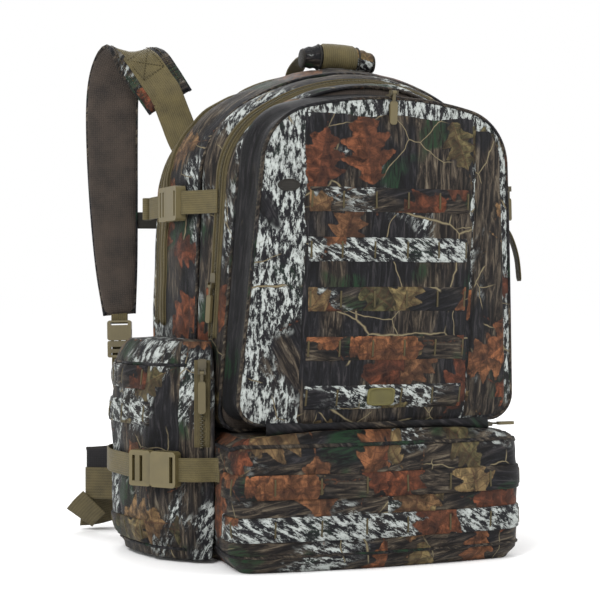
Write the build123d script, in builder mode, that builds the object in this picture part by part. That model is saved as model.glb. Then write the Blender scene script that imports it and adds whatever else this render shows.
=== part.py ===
from build123d import *
import math
import os

# Three-day hunting backpack. X runs across the pack, the wearer is on +Y, the
# front pockets face -Y, and the base stands on Z = 0 under the origin.

# ---- driving dimensions (millimetres and degrees) ----
LEAN = 5.5              # the stuffed pack tips forward by this much
WALL = 2.0              # padded fabric wall
CLEAR = 0.4             # gap between neighbouring soft parts
WEB = 25.4              # width of the narrow webbing
WEB_THICK = 1.8
PALS_PITCH = 50.8       # one webbing row and one gap
SLAB = 400              # longer than anything it cuts

# Rear edge, rear panel, widest ring, middle and front seam of the main bag:
# depth on the floor, half width, top height.
MAIN = [(122, 184, 184, 508), (112, 190, 190, 520), (75, 186, 186, 533), (25, 180, 180, 537),
        (-8, 171, 171, 530)]
MAIN_LOW = 0
MAIN_DROP = 80          # the arch springs this far below its top
MAIN_SHOULDER = 105

# Middle bag: depth, half width low, half width high, top height.
MID = [(-8.4, 170, 168, 528), (-63, 158, 142, 508)]
MID_LOW = 140.5
MID_DROP = 72
MID_SHOULDER = 90

# Front pocket: its zipped panel swings down on a seam above the lower pocket.
PANEL_DEPTH = -111      # its leaning plane's depth on the floor
PANEL_LOW = 152
PANEL_TOP = 492
PANEL_HALF_LOW = 157
PANEL_HALF_HIGH = 133
PANEL_DROP = 24
PANEL_SHOULDER = 60
PANEL_THICK = 5
RIM = 8                 # the panel's zip tape turns back by this much
GUSSET = [(-63.4, 157, 141, 501), (-170, 157, 129, 485)]
GUSSET_INSIDE = [(-63.4 - WALL, 157, 141, 501), (-190, 157, 129, 485)]
GUSSET_DROP = 26

# The front surface, level by level: height, depth at the sides, depth at the crown.
FRONT_LEVELS = [(120, -122, -132), (180, -129, -145), (260, -136, -157), (360, -146, -164), (540, -163, -172)]
FRONT_HALF = 170

# Lower pocket, and the one side pocket, on the left.
LOWER_HALF = 160
LOWER_FRONT = -148
LOWER_CROWN = -160
LOWER_TOP = 138
SIDE_LOW = 4
SIDE_TOP = 236
SIDE_PLAN = [(-160, 84), (-236, 80), (-247, 42), (-241, 2), (-224, -42), (-188, -74), (-163, -82)]

PALS_ROWS_FRONT = 5
PALS_FIRST = 179        # centre of the lowest webbing row on the front panel
PALS_HALF = 89
LOWER_ROWS = [46, 89]
SIDE_ROWS = [30, 158, 196]

# Zip pulls turn on a pin this far along and above the tape.
PIN_AT = 5.0
PIN_UP = 4.8

LEFT = -1
RIGHT = 1

os.makedirs("parts", exist_ok=True)


def leaning_plane(depth):
    """Upright plane across the pack, tipped forward; its v axis starts on the floor."""
    lean = math.radians(LEAN)
    return Plane(origin=(0, depth, 0), x_dir=(1, 0, 0), z_dir=(0, -math.cos(lean), -math.sin(lean)))


def arch_sketch(plane, half_low, half_high, low, spring, top, shoulder, hem):
    """Flat hem, straight sides and a crowned top with round shoulders."""
    with BuildSketch(plane) as face:
        with BuildLine():
            Polyline((-half_high, spring), (-half_low, low), (half_low, low), (half_high, spring))
            ThreePointArc((half_high, spring), (0, top), (-half_high, spring))
        make_face()
        fillet(vertices().group_by(Axis.Y)[0], hem)
        fillet([corner for corner in vertices() if abs(corner.Y - spring) < 0.5], shoulder)
    return face.sketch


def arch_bag(rings, low, drop, shoulder, grow=0, mode=Mode.ADD):
    """Loft a bag through arched rings; grow swells it on every side."""
    last = len(rings) - 1
    sections = []
    for index, (depth, half_low, half_high, top) in enumerate(rings):
        end_shift = grow if index == 0 else -grow if index == last else 0
        sections.append(arch_sketch(leaning_plane(depth + end_shift), half_low + grow, half_high + grow,
                                    low - grow, top - drop + grow * 0.6, top + grow, shoulder + grow, 22))
    loft(sections=[section.face() for section in sections], ruled=True, mode=mode)


def leaning_slab(depth, thickness, low, mode=Mode.INTERSECT):
    """Keep only a leaning slice of what has been drawn, above a height."""
    with BuildSketch(leaning_plane(depth + thickness / 2)) as slice_face:
        with Locations((0, low + SLAB)):
            Rectangle(2 * SLAB, 2 * SLAB)
    extrude(slice_face.sketch, amount=thickness, mode=mode)


def front_space(shift, mode=Mode.ADD):
    """Everything in front of the crowned front surface, moved back by shift."""
    sections = []
    for level, side, crown in FRONT_LEVELS:
        with BuildSketch(Plane.XY.offset(level)) as section:
            with BuildLine():
                ThreePointArc((-FRONT_HALF, side + shift), (0, crown + shift), (FRONT_HALF, side + shift))
                Polyline((FRONT_HALF, side + shift), (FRONT_HALF, -SLAB), (-FRONT_HALF, -SLAB),
                         (-FRONT_HALF, side + shift))
            make_face()
        sections.append(section.sketch.face())
    loft(sections=sections, ruled=True, mode=mode)


def lower_block(grow, low, top, mode=Mode.ADD):
    """The lower pocket's plan, crowned in front with round corners, drawn between two heights."""
    half = LOWER_HALF + grow
    front = LOWER_FRONT - grow
    with BuildSketch(Plane.XY.offset(low)) as plan:
        with BuildLine():
            ThreePointArc((-half, front), (0, LOWER_CROWN - grow), (half, front))
            Polyline((half, front), (half, 10), (-half, 10), (-half, front))
        make_face()
        fillet([corner for corner in vertices() if corner.Y < -100], 22 + grow)
    extrude(plan.sketch, amount=top - low, mode=mode)


def side_block(inset, mode=Mode.ADD):
    """The side pocket's plan, pulled in by inset."""
    with BuildSketch(Plane.XY.offset(SIDE_LOW + inset)) as plan:
        Polygon(*SIDE_PLAN, align=None)
        fillet([corner for corner in vertices() if abs(corner.X) > 180], 14)
        if inset:
            offset(amount=-inset, mode=Mode.REPLACE)
    extrude(plan.sketch, amount=SIDE_TOP - SIDE_LOW - 2 * inset, mode=mode)


def strip(points, thickness):
    """Closed outline of a band that follows a line of points, mitred at the bends."""
    near, far = [], []
    for index, point in enumerate(points):
        before = points[max(index - 1, 0)]
        after = points[min(index + 1, len(points) - 1)]
        run = Vector(after[0] - before[0], after[1] - before[1]).normalized()
        across = Vector(-run.Y, run.X) * (thickness / 2)
        near.append((point[0] + across.X, point[1] + across.Y))
        far.append((point[0] - across.X, point[1] - across.Y))
    return near + far[::-1]


def draw_band(plane, points, thickness, width, mode=Mode.ADD):
    """A band drawn edge-on in a plane, as wide as width, half to each side of the plane."""
    with BuildSketch(plane) as edge:
        Polygon(*strip(points, thickness), align=None)
    extrude(edge.sketch, amount=width / 2, both=True, mode=mode)


def draw_ribbon(stations, thickness, mode=Mode.ADD):
    """A ribbon through stations of centre, width and width direction."""
    centres = [Vector(*station[0]) for station in stations]
    sections = []
    for index, (_, width, across) in enumerate(stations):
        run = centres[min(index + 1, len(centres) - 1)] - centres[max(index - 1, 0)]
        run = run.normalized()
        across = Vector(*across)
        across = (across - run * across.dot(run)).normalized()
        with BuildSketch(Plane(origin=centres[index], x_dir=across, z_dir=run)) as section:
            Rectangle(width, thickness)
        sections.append(section.sketch.face())
    loft(sections=sections, ruled=True, mode=mode)


def block(plane, x_range, y_range, z_range, mode=Mode.ADD):
    """A box in a plane's own axes."""
    centre = ((x_range[0] + x_range[1]) / 2, (y_range[0] + y_range[1]) / 2)
    with BuildSketch(plane.offset(z_range[0])) as face:
        with Locations(centre):
            Rectangle(x_range[1] - x_range[0], y_range[1] - y_range[0])
    extrude(face.sketch, amount=z_range[1] - z_range[0], mode=mode)


def plate(plane, centre, length, width, corner, height, thickness, mode=Mode.ADD):
    """A round-cornered plate in a plane's own axes."""
    with BuildSketch(plane.offset(height)) as face:
        with Locations(centre):
            RectangleRounded(length, width, corner)
    extrude(face.sketch, amount=thickness, mode=mode)


def draw_buckle_female(plane, size):
    """Female half of a side-release buckle: x along the strap, z outward."""
    plate(plane, (15 * size, 0), 30 * size, 36 * size, 4 * size, 0, 11 * size)
    block(plane, (-1, 20 * size), (-14 * size, 14 * size), (3 * size, 8 * size), Mode.SUBTRACT)
    for side in (LEFT, RIGHT):
        window = sorted((side * 13 * size, side * 19 * size))
        block(plane, (8 * size, 17 * size), window, (3 * size, 8 * size), Mode.SUBTRACT)
    block(plane, (23 * size, 27 * size), (-13 * size, 13 * size), (-1, 12 * size), Mode.SUBTRACT)


def draw_buckle_male(plane, size):
    """Male half with its ladder-lock slots and three prongs inside the female half."""
    plate(plane, (-13.1 * size, 0), 25 * size, 36 * size, 3 * size, size, 9 * size)
    for slot in (-22, -13):
        slot_range = (slot * size, (slot + 3.4) * size)
        block(plane, slot_range, (-13 * size, 13 * size), (-1, 12 * size), Mode.SUBTRACT)
    for side in (LEFT, RIGHT):
        prong = sorted((side * 9 * size, side * 13.2 * size))
        block(plane, (-1.2 * size, 17 * size), prong, (3.6 * size, 7.4 * size))
    block(plane, (-1.2 * size, 12 * size), (-1.8 * size, 1.8 * size), (3.6 * size, 7.4 * size))


def draw_pin(plane, radius, length, mode=Mode.ADD):
    """A round bar across a slider, on its pull's axis."""
    start = plane.from_local_coords((PIN_AT, -length / 2, PIN_UP))
    with BuildSketch(Plane(origin=start, x_dir=plane.x_dir, z_dir=plane.y_dir)) as circle:
        Circle(radius)
    extrude(circle.sketch, amount=length, mode=mode)


def draw_slider(plane):
    """Zip slider: x is the way its pull hangs, z is outward from the tape."""
    plate(plane, (-3.4, 0), 12, 9, 2, 0.8, 1.8)
    for side in (LEFT, RIGHT):
        block(plane, (PIN_AT - 4, PIN_AT + 1.6), sorted((side * 2.6, side * 4.2)), (2.2, PIN_UP + 1.8))
    draw_pin(plane, 0.9, 8)


def draw_pull(plane, length):
    """Zip pull: a knuckle round the slider's pin, a neck and a moulded grip."""
    draw_pin(plane, 1.9, 4.6)
    block(plane, (PIN_AT + 1.2, PIN_AT + 12), (-1.6, 1.6), (PIN_UP - 1, PIN_UP + 1))
    plate(plane, (PIN_AT + 9 + length / 2, 0), length, 8, 3, PIN_UP - 1.6, 3.2)
    draw_pin(plane, 1.0, 6, Mode.SUBTRACT)


def save(part, name):
    part.label = name
    export_step(part, f"parts/{name}.step")


# ---- compartments ----
with BuildPart() as main_compartment:
    arch_bag(MAIN, MAIN_LOW, MAIN_DROP, MAIN_SHOULDER)
    arch_bag(MAIN, MAIN_LOW, MAIN_DROP, MAIN_SHOULDER, -WALL, Mode.SUBTRACT)
save(main_compartment.part, "main_compartment")

with BuildPart() as mid_compartment:
    arch_bag(MID, MID_LOW, MID_DROP, MID_SHOULDER)
    arch_bag(MID, MID_LOW, MID_DROP, MID_SHOULDER, -WALL, Mode.SUBTRACT)
save(mid_compartment.part, "mid_compartment")

with BuildPart() as front_pocket_gusset:
    arch_bag(GUSSET, PANEL_LOW, GUSSET_DROP, PANEL_SHOULDER)
    arch_bag(GUSSET_INSIDE, PANEL_LOW, GUSSET_DROP, PANEL_SHOULDER, -WALL, Mode.SUBTRACT)
    front_space(RIM + 0.8, Mode.SUBTRACT)
save(front_pocket_gusset.part, "front_pocket_gusset")


def panel_sketch(grow):
    return arch_sketch(leaning_plane(PANEL_DEPTH), PANEL_HALF_LOW + grow, PANEL_HALF_HIGH + grow, PANEL_LOW - grow,
                       PANEL_TOP - PANEL_DROP + grow * 0.8, PANEL_TOP + grow, PANEL_SHOULDER + grow,
                       25 + grow)


with BuildPart() as front_panel:
    front_space(0)
    front_space(-PANEL_THICK, Mode.SUBTRACT)
    extrude(panel_sketch(0), amount=120, both=True, mode=Mode.INTERSECT)
save(front_panel.part, "front_panel")

with BuildPart() as front_zip:
    front_space(RIM)
    front_space(0.2, Mode.SUBTRACT)
    extrude(panel_sketch(0), amount=120, both=True, mode=Mode.INTERSECT)
    extrude(panel_sketch(-WALL), amount=120, both=True, mode=Mode.SUBTRACT)
    block(Plane.XY, (-SLAB, SLAB), (-SLAB, SLAB), (0, PANEL_LOW + 30), Mode.SUBTRACT)
save(front_zip.part, "front_zip")

with BuildPart() as lower_cavity:
    lower_block(-WALL, WALL, LOWER_TOP - WALL)
    split(bisect_by=leaning_plane(MAIN[-1][0] - CLEAR - WALL), keep=Keep.TOP)

with BuildPart() as lower_pocket:
    lower_block(0, 0, LOWER_TOP)
    fillet(lower_pocket.faces().sort_by(Axis.Z)[-1].edges().filter_by(lambda edge: edge.center().Y < 0), 10)
    split(bisect_by=leaning_plane(MAIN[-1][0] - CLEAR), keep=Keep.TOP)
    add(lower_cavity.part, mode=Mode.SUBTRACT)
save(lower_pocket.part, "lower_pocket")

SIDES = {"left": LEFT, "right": RIGHT}


def clear_of_bags(gap):
    """Cut away everything that the other bags fill, with a gap round them."""
    arch_bag(MAIN, MAIN_LOW, MAIN_DROP, MAIN_SHOULDER, gap, Mode.SUBTRACT)
    arch_bag(MID, MID_LOW, MID_DROP, MID_SHOULDER, gap, Mode.SUBTRACT)
    lower_block(gap, 0, SIDE_TOP, Mode.SUBTRACT)


with BuildPart() as side_cavity:
    side_block(WALL)
    fillet(side_cavity.faces().sort_by(Axis.Z)[-1].edges(), 8)
    clear_of_bags(CLEAR + WALL)

with BuildPart() as side_pocket:
    side_block(0)
    fillet(side_pocket.faces().sort_by(Axis.Z)[-1].edges(), 10)
    clear_of_bags(CLEAR)
    add(side_cavity.part, mode=Mode.SUBTRACT)
save(side_pocket.part, "side_pocket")

# ---- back panel and what the main bag holds ----
BACK = MAIN[0][0]
PADS = [(-78, 300, 84, 220), (78, 300, 84, 220), (0, 122, 240, 92), (0, 452, 150, 44)]
PAD_THICK = 13
with BuildPart() as back_pads:
    for x, height, width, tall in PADS:
        plate(leaning_plane(BACK + CLEAR + PAD_THICK), (x, height), width, tall, 18, 0, PAD_THICK)
    fillet(back_pads.faces().group_by(Axis.Y)[-1].edges(), 4)
save(back_pads.part, "back_pads")

with BuildPart() as frame_sheet:
    plate(leaning_plane(BACK - WALL - 3), (0, 240), 280, 430, 40, 0, 2.5)
save(frame_sheet.part, "frame_sheet")

with BuildPart() as hydration_sleeve:
    plate(leaning_plane(BACK - WALL - 8), (0, 210), 250, 360, 30, 0, 14)
    plate(leaning_plane(BACK - WALL - 9), (0, 211), 246, 360, 28, 0, 12, Mode.SUBTRACT)
save(hydration_sleeve.part, "hydration_sleeve")


# ---- webbing rows ----
with BuildPart() as front_webbing:
    front_space(-PANEL_THICK - 0.2)
    front_space(-PANEL_THICK - 0.2 - WEB_THICK, Mode.SUBTRACT)
    with BuildSketch(Plane.XZ.offset(SLAB)):
        for row in range(PALS_ROWS_FRONT):
            with Locations((0, PALS_FIRST + row * PALS_PITCH)):
                Rectangle(2 * PALS_HALF, WEB)
    extrude(amount=-SLAB, mode=Mode.INTERSECT)
save(front_webbing.part, "front_webbing")

with BuildPart() as front_patches:
    front_space(-PANEL_THICK - 0.4 - WEB_THICK)
    front_space(-PANEL_THICK - 2.6 - WEB_THICK, Mode.SUBTRACT)
    with BuildSketch(Plane.XZ.offset(SLAB)):
        with Locations((-5, PALS_FIRST)):
            RectangleRounded(30, 19, 3)
        with Locations((-110, 396)):
            Ellipse(11, 6)
    extrude(amount=-SLAB, mode=Mode.INTERSECT)
save(front_patches.part, "front_patches")

with BuildPart() as lower_webbing:
    for height in LOWER_ROWS:
        lower_block(0.3 + WEB_THICK, height - WEB / 2, height + WEB / 2)
        lower_block(0.3, height - WEB / 2 - 1, height + WEB / 2 + 1, Mode.SUBTRACT)
    block(Plane.XY, (-SLAB, SLAB), (-108, SLAB), (-1, SLAB), Mode.SUBTRACT)
save(lower_webbing.part, "lower_webbing")

# Webbing rows on the outer face of the side pocket, following its plan.
SIDE_BAND = [(-238, 80.2), (-249.3, 42), (-243.3, 2), (-230, -32)]
with BuildPart() as side_webbing:
    for height in SIDE_ROWS:
        draw_band(Plane.XY.offset(height), SIDE_BAND, WEB_THICK, WEB)
save(side_webbing.part, "side_webbing")

# ---- compression straps: three on the bag, the lower left one round the side pocket ----
UPPER_HEIGHT = 384
LOWER_HEIGHT = 101
BUCKLE = 1.05           # size of the compression buckles
ROLL = 5.5              # radius of the rolled strap ends


def mirrored(points, side):
    """Points given for the left side, moved to either side."""
    return [(-side * x, y) for x, y in points]


def strap_frame(meeting, run, height, side):
    """Frame of a buckle lying on a side: origin where its halves meet, x along the strap, z outward."""
    x, y = mirrored([meeting], side)[0]
    along = Vector(-side * run[0], run[1], 0).normalized()
    outward = Vector(along.Y, -along.X, 0) * -side
    return Plane(origin=(x, y, height), x_dir=along, z_dir=outward)


# Drawn for the left side, in plan, from rear to front.
UPPER_REAR = [(-193.6, 98), (-192.7, 73), (-185.1, 5)]
UPPER_MEETING = (-185.5, 2)
UPPER_FRONT = [(-186.2, -34), (-175.5, -48), (-165, -64), (-159, -76)]
BAG_RUN = (10, -89)
BAG_REAR = [(-193.9, 118), (-192.7, 100), (-185.3, 32)]
BAG_MEETING = (-185.7, 29)
BAG_FRONT = [(-186.2, -7), (-176.5, -22), (-166, -42), (-162.6, -70)]
POCKET_REAR = [(-193.5, 96), (-239.5, 85.6), (-251.6, 43), (-245.4, 1), (-236, -31.4), (-221.5, -46.6)]
POCKET_MEETING = (-220.0, -49.2)
POCKET_RUN = (0.695, -0.719)
POCKET_FRONT = [(-197.6, -78.4), (-185, -84.6), (-166, -88.6), (-162.4, -96)]

# Side, height, rear run, where the buckle's halves meet, their direction, front run.
ROUTES = {
    "upper_left": (LEFT, UPPER_HEIGHT, UPPER_REAR, UPPER_MEETING, BAG_RUN, UPPER_FRONT),
    "lower_left": (LEFT, LOWER_HEIGHT, POCKET_REAR, POCKET_MEETING, POCKET_RUN, POCKET_FRONT),
    "upper_right": (RIGHT, UPPER_HEIGHT, UPPER_REAR, UPPER_MEETING, BAG_RUN, UPPER_FRONT),
    "lower_right": (RIGHT, LOWER_HEIGHT, BAG_REAR, BAG_MEETING, BAG_RUN, BAG_FRONT),
}
STRAPS = {name: strap_frame(meeting, run, height, side)
          for name, (side, height, _, meeting, run, _) in ROUTES.items()}

# The loose end that hangs off the upper right strap.
LOOSE_END = [(188, -44, 368), (199, -46, 352), (207, -47, 328), (210, -48, 300)]

with BuildPart() as compression_webbing:
    for side, height, rear, _, _, front in ROUTES.values():
        draw_band(Plane.XY.offset(height), mirrored(rear, side), WEB_THICK, WEB)
        draw_band(Plane.XY.offset(height), mirrored(front, side), WEB_THICK, WEB)
    for side in SIDES.values():
        with BuildSketch(Plane.XY.offset(UPPER_HEIGHT - WEB / 2)) as roll:
            with Locations(mirrored([(-195.5, 98 + ROLL)], side)[0]):
                Circle(ROLL)
        extrude(roll.sketch, amount=WEB)
    draw_ribbon([(point, WEB, (0.3, 1, 0)) for point in LOOSE_END], WEB_THICK)
save(compression_webbing.part, "compression_webbing")

with BuildPart() as compression_buckle_females:
    for frame in STRAPS.values():
        draw_buckle_female(frame, BUCKLE)
save(compression_buckle_females.part, "compression_buckle_females")

for name, frame in STRAPS.items():
    with BuildPart() as compression_buckle_male:
        draw_buckle_male(frame, BUCKLE)
    save(compression_buckle_male.part, f"compression_buckle_male_{name}")

# ---- zips ----
REAR_ZIP_DEPTH = 96
MID_ZIP_DEPTH = -38
TAPE = 14
TAPE_UP = 1.8

with BuildPart() as rear_zip:
    arch_bag(MAIN, MAIN_LOW, MAIN_DROP, MAIN_SHOULDER, TAPE_UP)
    arch_bag(MAIN, MAIN_LOW, MAIN_DROP, MAIN_SHOULDER, 0.3, Mode.SUBTRACT)
    leaning_slab(REAR_ZIP_DEPTH, TAPE, SIDE_TOP + 6)
save(rear_zip.part, "rear_zip")

with BuildPart() as mid_zip:
    arch_bag(MID, MID_LOW, MID_DROP, MID_SHOULDER, TAPE_UP)
    arch_bag(MID, MID_LOW, MID_DROP, MID_SHOULDER, 0.3, Mode.SUBTRACT)
    leaning_slab(MID_ZIP_DEPTH, TAPE, SIDE_TOP + 6)
save(mid_zip.part, "mid_zip")

SIDE_ZIP_AT = (-176.5, -77.8)
SIDE_ZIP_OUT = Vector(-8, -25, 0).normalized()
LOWER_ZIP_Y = -128
LOWER_ZIP_LENGTH = 296
LOWER_SLIDER_X = 128


def side_zip_frame(height):
    """On the front face of the side pocket: x down the zip, z outward."""
    origin = Vector(*SIDE_ZIP_AT, height) + SIDE_ZIP_OUT * 0.4
    return Plane(origin=origin, x_dir=(0, 0, -1), z_dir=SIDE_ZIP_OUT)


with BuildPart() as pocket_zips:
    plate(Plane.XY.offset(LOWER_TOP), (0, LOWER_ZIP_Y), LOWER_ZIP_LENGTH, 12, 3, 0.3, 1.5)
    plate(side_zip_frame(170), (0, 0), 96, 10, 3, 0, 1.5)
save(pocket_zips.part, "pocket_zips")


def ring_at(rings, depth):
    """Interpolate a bag's ring at a depth between two of its rings."""
    for rear, front in zip(rings, rings[1:]):
        if rear[0] >= depth >= front[0]:
            share = (rear[0] - depth) / (rear[0] - front[0])
            return [a + share * (b - a) for a, b in zip(rear, front)]


def side_point(rings, low, drop, depth, height, side, grow):
    """A point on a bag's side at a depth and a height along the lean."""
    _, half_low, half_high, top = ring_at(rings, depth)
    half = half_low + (half_high - half_low) * (height - low) / (top - drop - low)
    return leaning_plane(depth).from_local_coords((side * (half + grow), height, 0))


def side_frame(rings, low, drop, depth, height, side, grow):
    """Frame on a bag's side: x down, z outward."""
    here = side_point(rings, low, drop, depth, height, side, grow)
    down = (side_point(rings, low, drop, depth, height - 5, side, grow) - here).normalized()
    forward = (side_point(rings, low, drop, depth - 5, height, side, grow) - here).normalized()
    out = forward.cross(down) * side
    return Plane(origin=here, x_dir=down, z_dir=out)


def top_frame(rings, depth, x, grow):
    """Frame on a bag's crown: x forward, z outward."""
    here = leaning_plane(depth).from_local_coords((x, ring_at(rings, depth)[3] + grow, 0))
    ahead = leaning_plane(depth - 5).from_local_coords((x, ring_at(rings, depth - 5)[3] + grow, 0))
    forward = (ahead - here).normalized()
    return Plane(origin=here, x_dir=forward, z_dir=Vector(1, 0, 0).cross(forward) * -1)


def hanging_frame(frame, down, out):
    """A pull's frame that shares the slider's pin but hangs another way."""
    pin = frame.from_local_coords((PIN_AT, 0, PIN_UP))
    return Plane(origin=pin - down * PIN_AT - out * PIN_UP, x_dir=down, z_dir=out)


LEAN_UP = leaning_plane(0).y_dir
LEAN_FORWARD = leaning_plane(0).z_dir
panel_plane = leaning_plane(PANEL_DEPTH)
panel_top_frame = Plane(origin=panel_plane.from_local_coords((0, PANEL_TOP, 15.5)), x_dir=LEAN_FORWARD,
                        z_dir=LEAN_UP)
PANEL_SIDE_AT = 404
panel_side_half = PANEL_HALF_LOW + (PANEL_HALF_HIGH - PANEL_HALF_LOW) * (PANEL_SIDE_AT - PANEL_LOW) / (
    PANEL_TOP - PANEL_DROP - PANEL_LOW)
panel_side_down = (LEAN_UP * -(PANEL_TOP - PANEL_DROP - PANEL_LOW)
                   + Vector(PANEL_HALF_LOW - PANEL_HALF_HIGH, 0, 0)).normalized()
panel_side_frame = Plane(origin=panel_plane.from_local_coords((panel_side_half, PANEL_SIDE_AT, 3)),
                         x_dir=panel_side_down, z_dir=LEAN_FORWARD.cross(panel_side_down))

SLIDERS = {
    "rear_top": top_frame(MAIN, REAR_ZIP_DEPTH, 0, TAPE_UP),
    "rear_right": side_frame(MAIN, MAIN_LOW, MAIN_DROP, REAR_ZIP_DEPTH, 340, RIGHT, TAPE_UP),
    "mid_left": side_frame(MID, MID_LOW, MID_DROP, MID_ZIP_DEPTH, 300, LEFT, TAPE_UP),
    "mid_right": side_frame(MID, MID_LOW, MID_DROP, MID_ZIP_DEPTH, 330, RIGHT, TAPE_UP),
    "front_top": panel_top_frame,
    "front_right": panel_side_frame,
    "lower": Plane(origin=(LOWER_SLIDER_X, LOWER_ZIP_Y, LOWER_TOP + 1.8), x_dir=(1, 0, 0), z_dir=(0, 0, 1)),
    "side": side_zip_frame(208).offset(1.5),
}
PULL_LENGTHS = {"mid_left": 30, "side": 34, "lower": 20}

for name, frame in SLIDERS.items():
    with BuildPart() as slider:
        draw_slider(frame)
    save(slider.part, f"slider_{name}")
    pull_frame = hanging_frame(frame, LEAN_UP * -1, LEAN_FORWARD) if name == "front_top" else frame
    with BuildPart() as pull:
        draw_pull(pull_frame, PULL_LENGTHS.get(name, 24))
    save(pull.part, f"pull_{name}")

# ---- carry handle ----
HANDLE_AT = (-8, 553)
HANDLE_RADIUS = 14
HANDLE_HALF = 42
HANDLE_STRAP = [(66, 528), (50, 545), (24, 553), (8, 554.5)]
with BuildPart() as handle_grip:
    with BuildSketch(Plane.YZ.offset(-HANDLE_HALF)) as grip:
        with Locations(HANDLE_AT):
            Circle(HANDLE_RADIUS)
    extrude(grip.sketch, amount=2 * HANDLE_HALF)
save(handle_grip.part, "handle_grip")

with BuildPart() as handle_webbing:
    for side in SIDES.values():
        draw_band(Plane.YZ.offset(side * 31), HANDLE_STRAP, WEB_THICK, 20)
    with BuildSketch(Plane.YZ.offset(-20)) as sleeve:
        with Locations(HANDLE_AT):
            Circle(HANDLE_RADIUS + 2)
            Circle(HANDLE_RADIUS + 0.2, mode=Mode.SUBTRACT)
    extrude(sleeve.sketch, amount=40)
save(handle_webbing.part, "handle_webbing")

# ---- shoulder straps: centre, width and width direction from the top down ----
STRAP_ACROSS = {"left": (0.94, -0.34, 0), "right": (1, -0.08, 0)}
STRAP_TOP = {
    "left": [(-128, 93, 430), (-148, 104, 462), (-158, 114, 492)],
    "right": [(128, 93, 430), (127, 103, 462), (124, 114, 488)],
}
STRAP_PAD = {
    "left": [(-163, 120, 512, 56), (-178, 134, 540, 58), (-190, 147, 560, 60), (-203, 163, 568, 60),
             (-213, 176, 558, 60), (-219, 184, 530, 60), (-220, 186, 480, 60), (-219, 182, 400, 56),
             (-217, 175, 320, 48), (-215, 166, 260, 36)],
    "right": [(122, 122, 502, 56), (118, 138, 522, 58), (113, 154, 534, 60), (110, 170, 538, 60),
              (108, 187, 532, 60), (108, 199, 512, 60), (111, 205, 470, 60), (118, 204, 400, 56),
              (130, 196, 330, 48), (141, 186, 272, 36)],
}
PAD_THICKNESS = 11
STRAP_MEETING = {"left": (-215, 164.5, 229), "right": (145, 180.5, 241)}
STRAP_DOWN = {"left": (0, -0.06, -1), "right": (0.1, -0.14, -1)}
STRAP_LOW = {"left": [(-208, 138, 156), (-190, 114, 130)], "right": [(168, 146, 160), (190, 114, 130)]}
STRAP_BUCKLE = 0.8
STRAP_WEB = 20
STERNUM_HEIGHT = 374


def strap_buckle_frame(name):
    """Frame of a shoulder strap's buckle: x up the strap, z towards the pack."""
    up = Vector(*STRAP_DOWN[name]).normalized() * -1
    across = Vector(*STRAP_ACROSS[name])
    across = (across - up * across.dot(up)).normalized()
    out = up.cross(across).normalized()
    if out.Y > 0:
        out = out * -1
    return Plane(origin=Vector(*STRAP_MEETING[name]) - out * 4.4, x_dir=up, z_dir=out)


for name, side in SIDES.items():
    across = STRAP_ACROSS[name]
    with BuildPart() as shoulder_pad:
        draw_ribbon([((x, y, z), width, across) for x, y, z, width in STRAP_PAD[name]], PAD_THICKNESS)
    save(shoulder_pad.part, f"shoulder_pad_{name}")

    frame = strap_buckle_frame(name)
    with BuildPart() as strap_webbing:
        draw_ribbon([(point, 38, across) for point in STRAP_TOP[name]], WEB_THICK)
        under = [tuple(frame.from_local_coords((along, 0, -0.8))) for along in (-2, -52)]
        draw_ribbon([(point, STRAP_WEB, across) for point in under + STRAP_LOW[name]], WEB_THICK)
    save(strap_webbing.part, f"strap_webbing_{name}")

    with BuildPart() as strap_buckle_female:
        draw_buckle_female(frame, STRAP_BUCKLE)
    save(strap_buckle_female.part, f"strap_buckle_female_{name}")
    with BuildPart() as strap_buckle_male:
        draw_buckle_male(frame, STRAP_BUCKLE)
    save(strap_buckle_male.part, f"strap_buckle_male_{name}")

STERNUM = {"left": [(-189, 172), (-160, 168), (-122, 162)], "right": [(88, 204), (60, 200), (22, 192)]}
for name, side in SIDES.items():
    with BuildPart() as sternum_strap:
        draw_band(Plane.XY.offset(STERNUM_HEIGHT), STERNUM[name], WEB_THICK, STRAP_WEB)
    save(sternum_strap.part, f"sternum_strap_{name}")

# ---- hip belt, given for the left side ----
WING = [(-128, 127), (-160, 131), (-200, 146), (-254, 173)]
WING_THICK = 12
WING_LOW = 39
WING_HIGH = 104
BELT_WEB = 38
BELT_ON_WING = [(-160, 123.4), (-202.6, 139), (-256.6, 166.2)]
BELT_HEIGHT = 59
BELT_DOWN = [(-247, 158, 37), (-256, 167, 26), (-262, 176, 16)]
BELT_BACK = [(-258, 188, 21), (-238, 189, 21.5), (-212, 188, 27), (-182, 186, 31), (-158, 184, 31)]
BELT_ACROSS = (0.85, -0.5, 0)
BELT_BACK_ACROSS = (0.1, -0.35, 0.93)
BELT_BUCKLE = 1.3
for name, side in SIDES.items():
    with BuildPart() as belt_wing:
        draw_band(Plane.XY.offset((WING_LOW + WING_HIGH) / 2), mirrored(WING, side), WING_THICK,
                  WING_HIGH - WING_LOW)
    save(belt_wing.part, f"belt_wing_{name}")

    with BuildPart() as belt_webbing:
        draw_band(Plane.XY.offset(BELT_HEIGHT), mirrored(BELT_ON_WING, side), WEB_THICK, BELT_WEB)
        for points, across in ((BELT_DOWN, BELT_ACROSS), (BELT_BACK, BELT_BACK_ACROSS)):
            turned = (-side * across[0], across[1], across[2])
            draw_ribbon([((-side * x, y, z), BELT_WEB, turned) for x, y, z in points], WEB_THICK)
    save(belt_webbing.part, f"belt_webbing_{name}")

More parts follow.
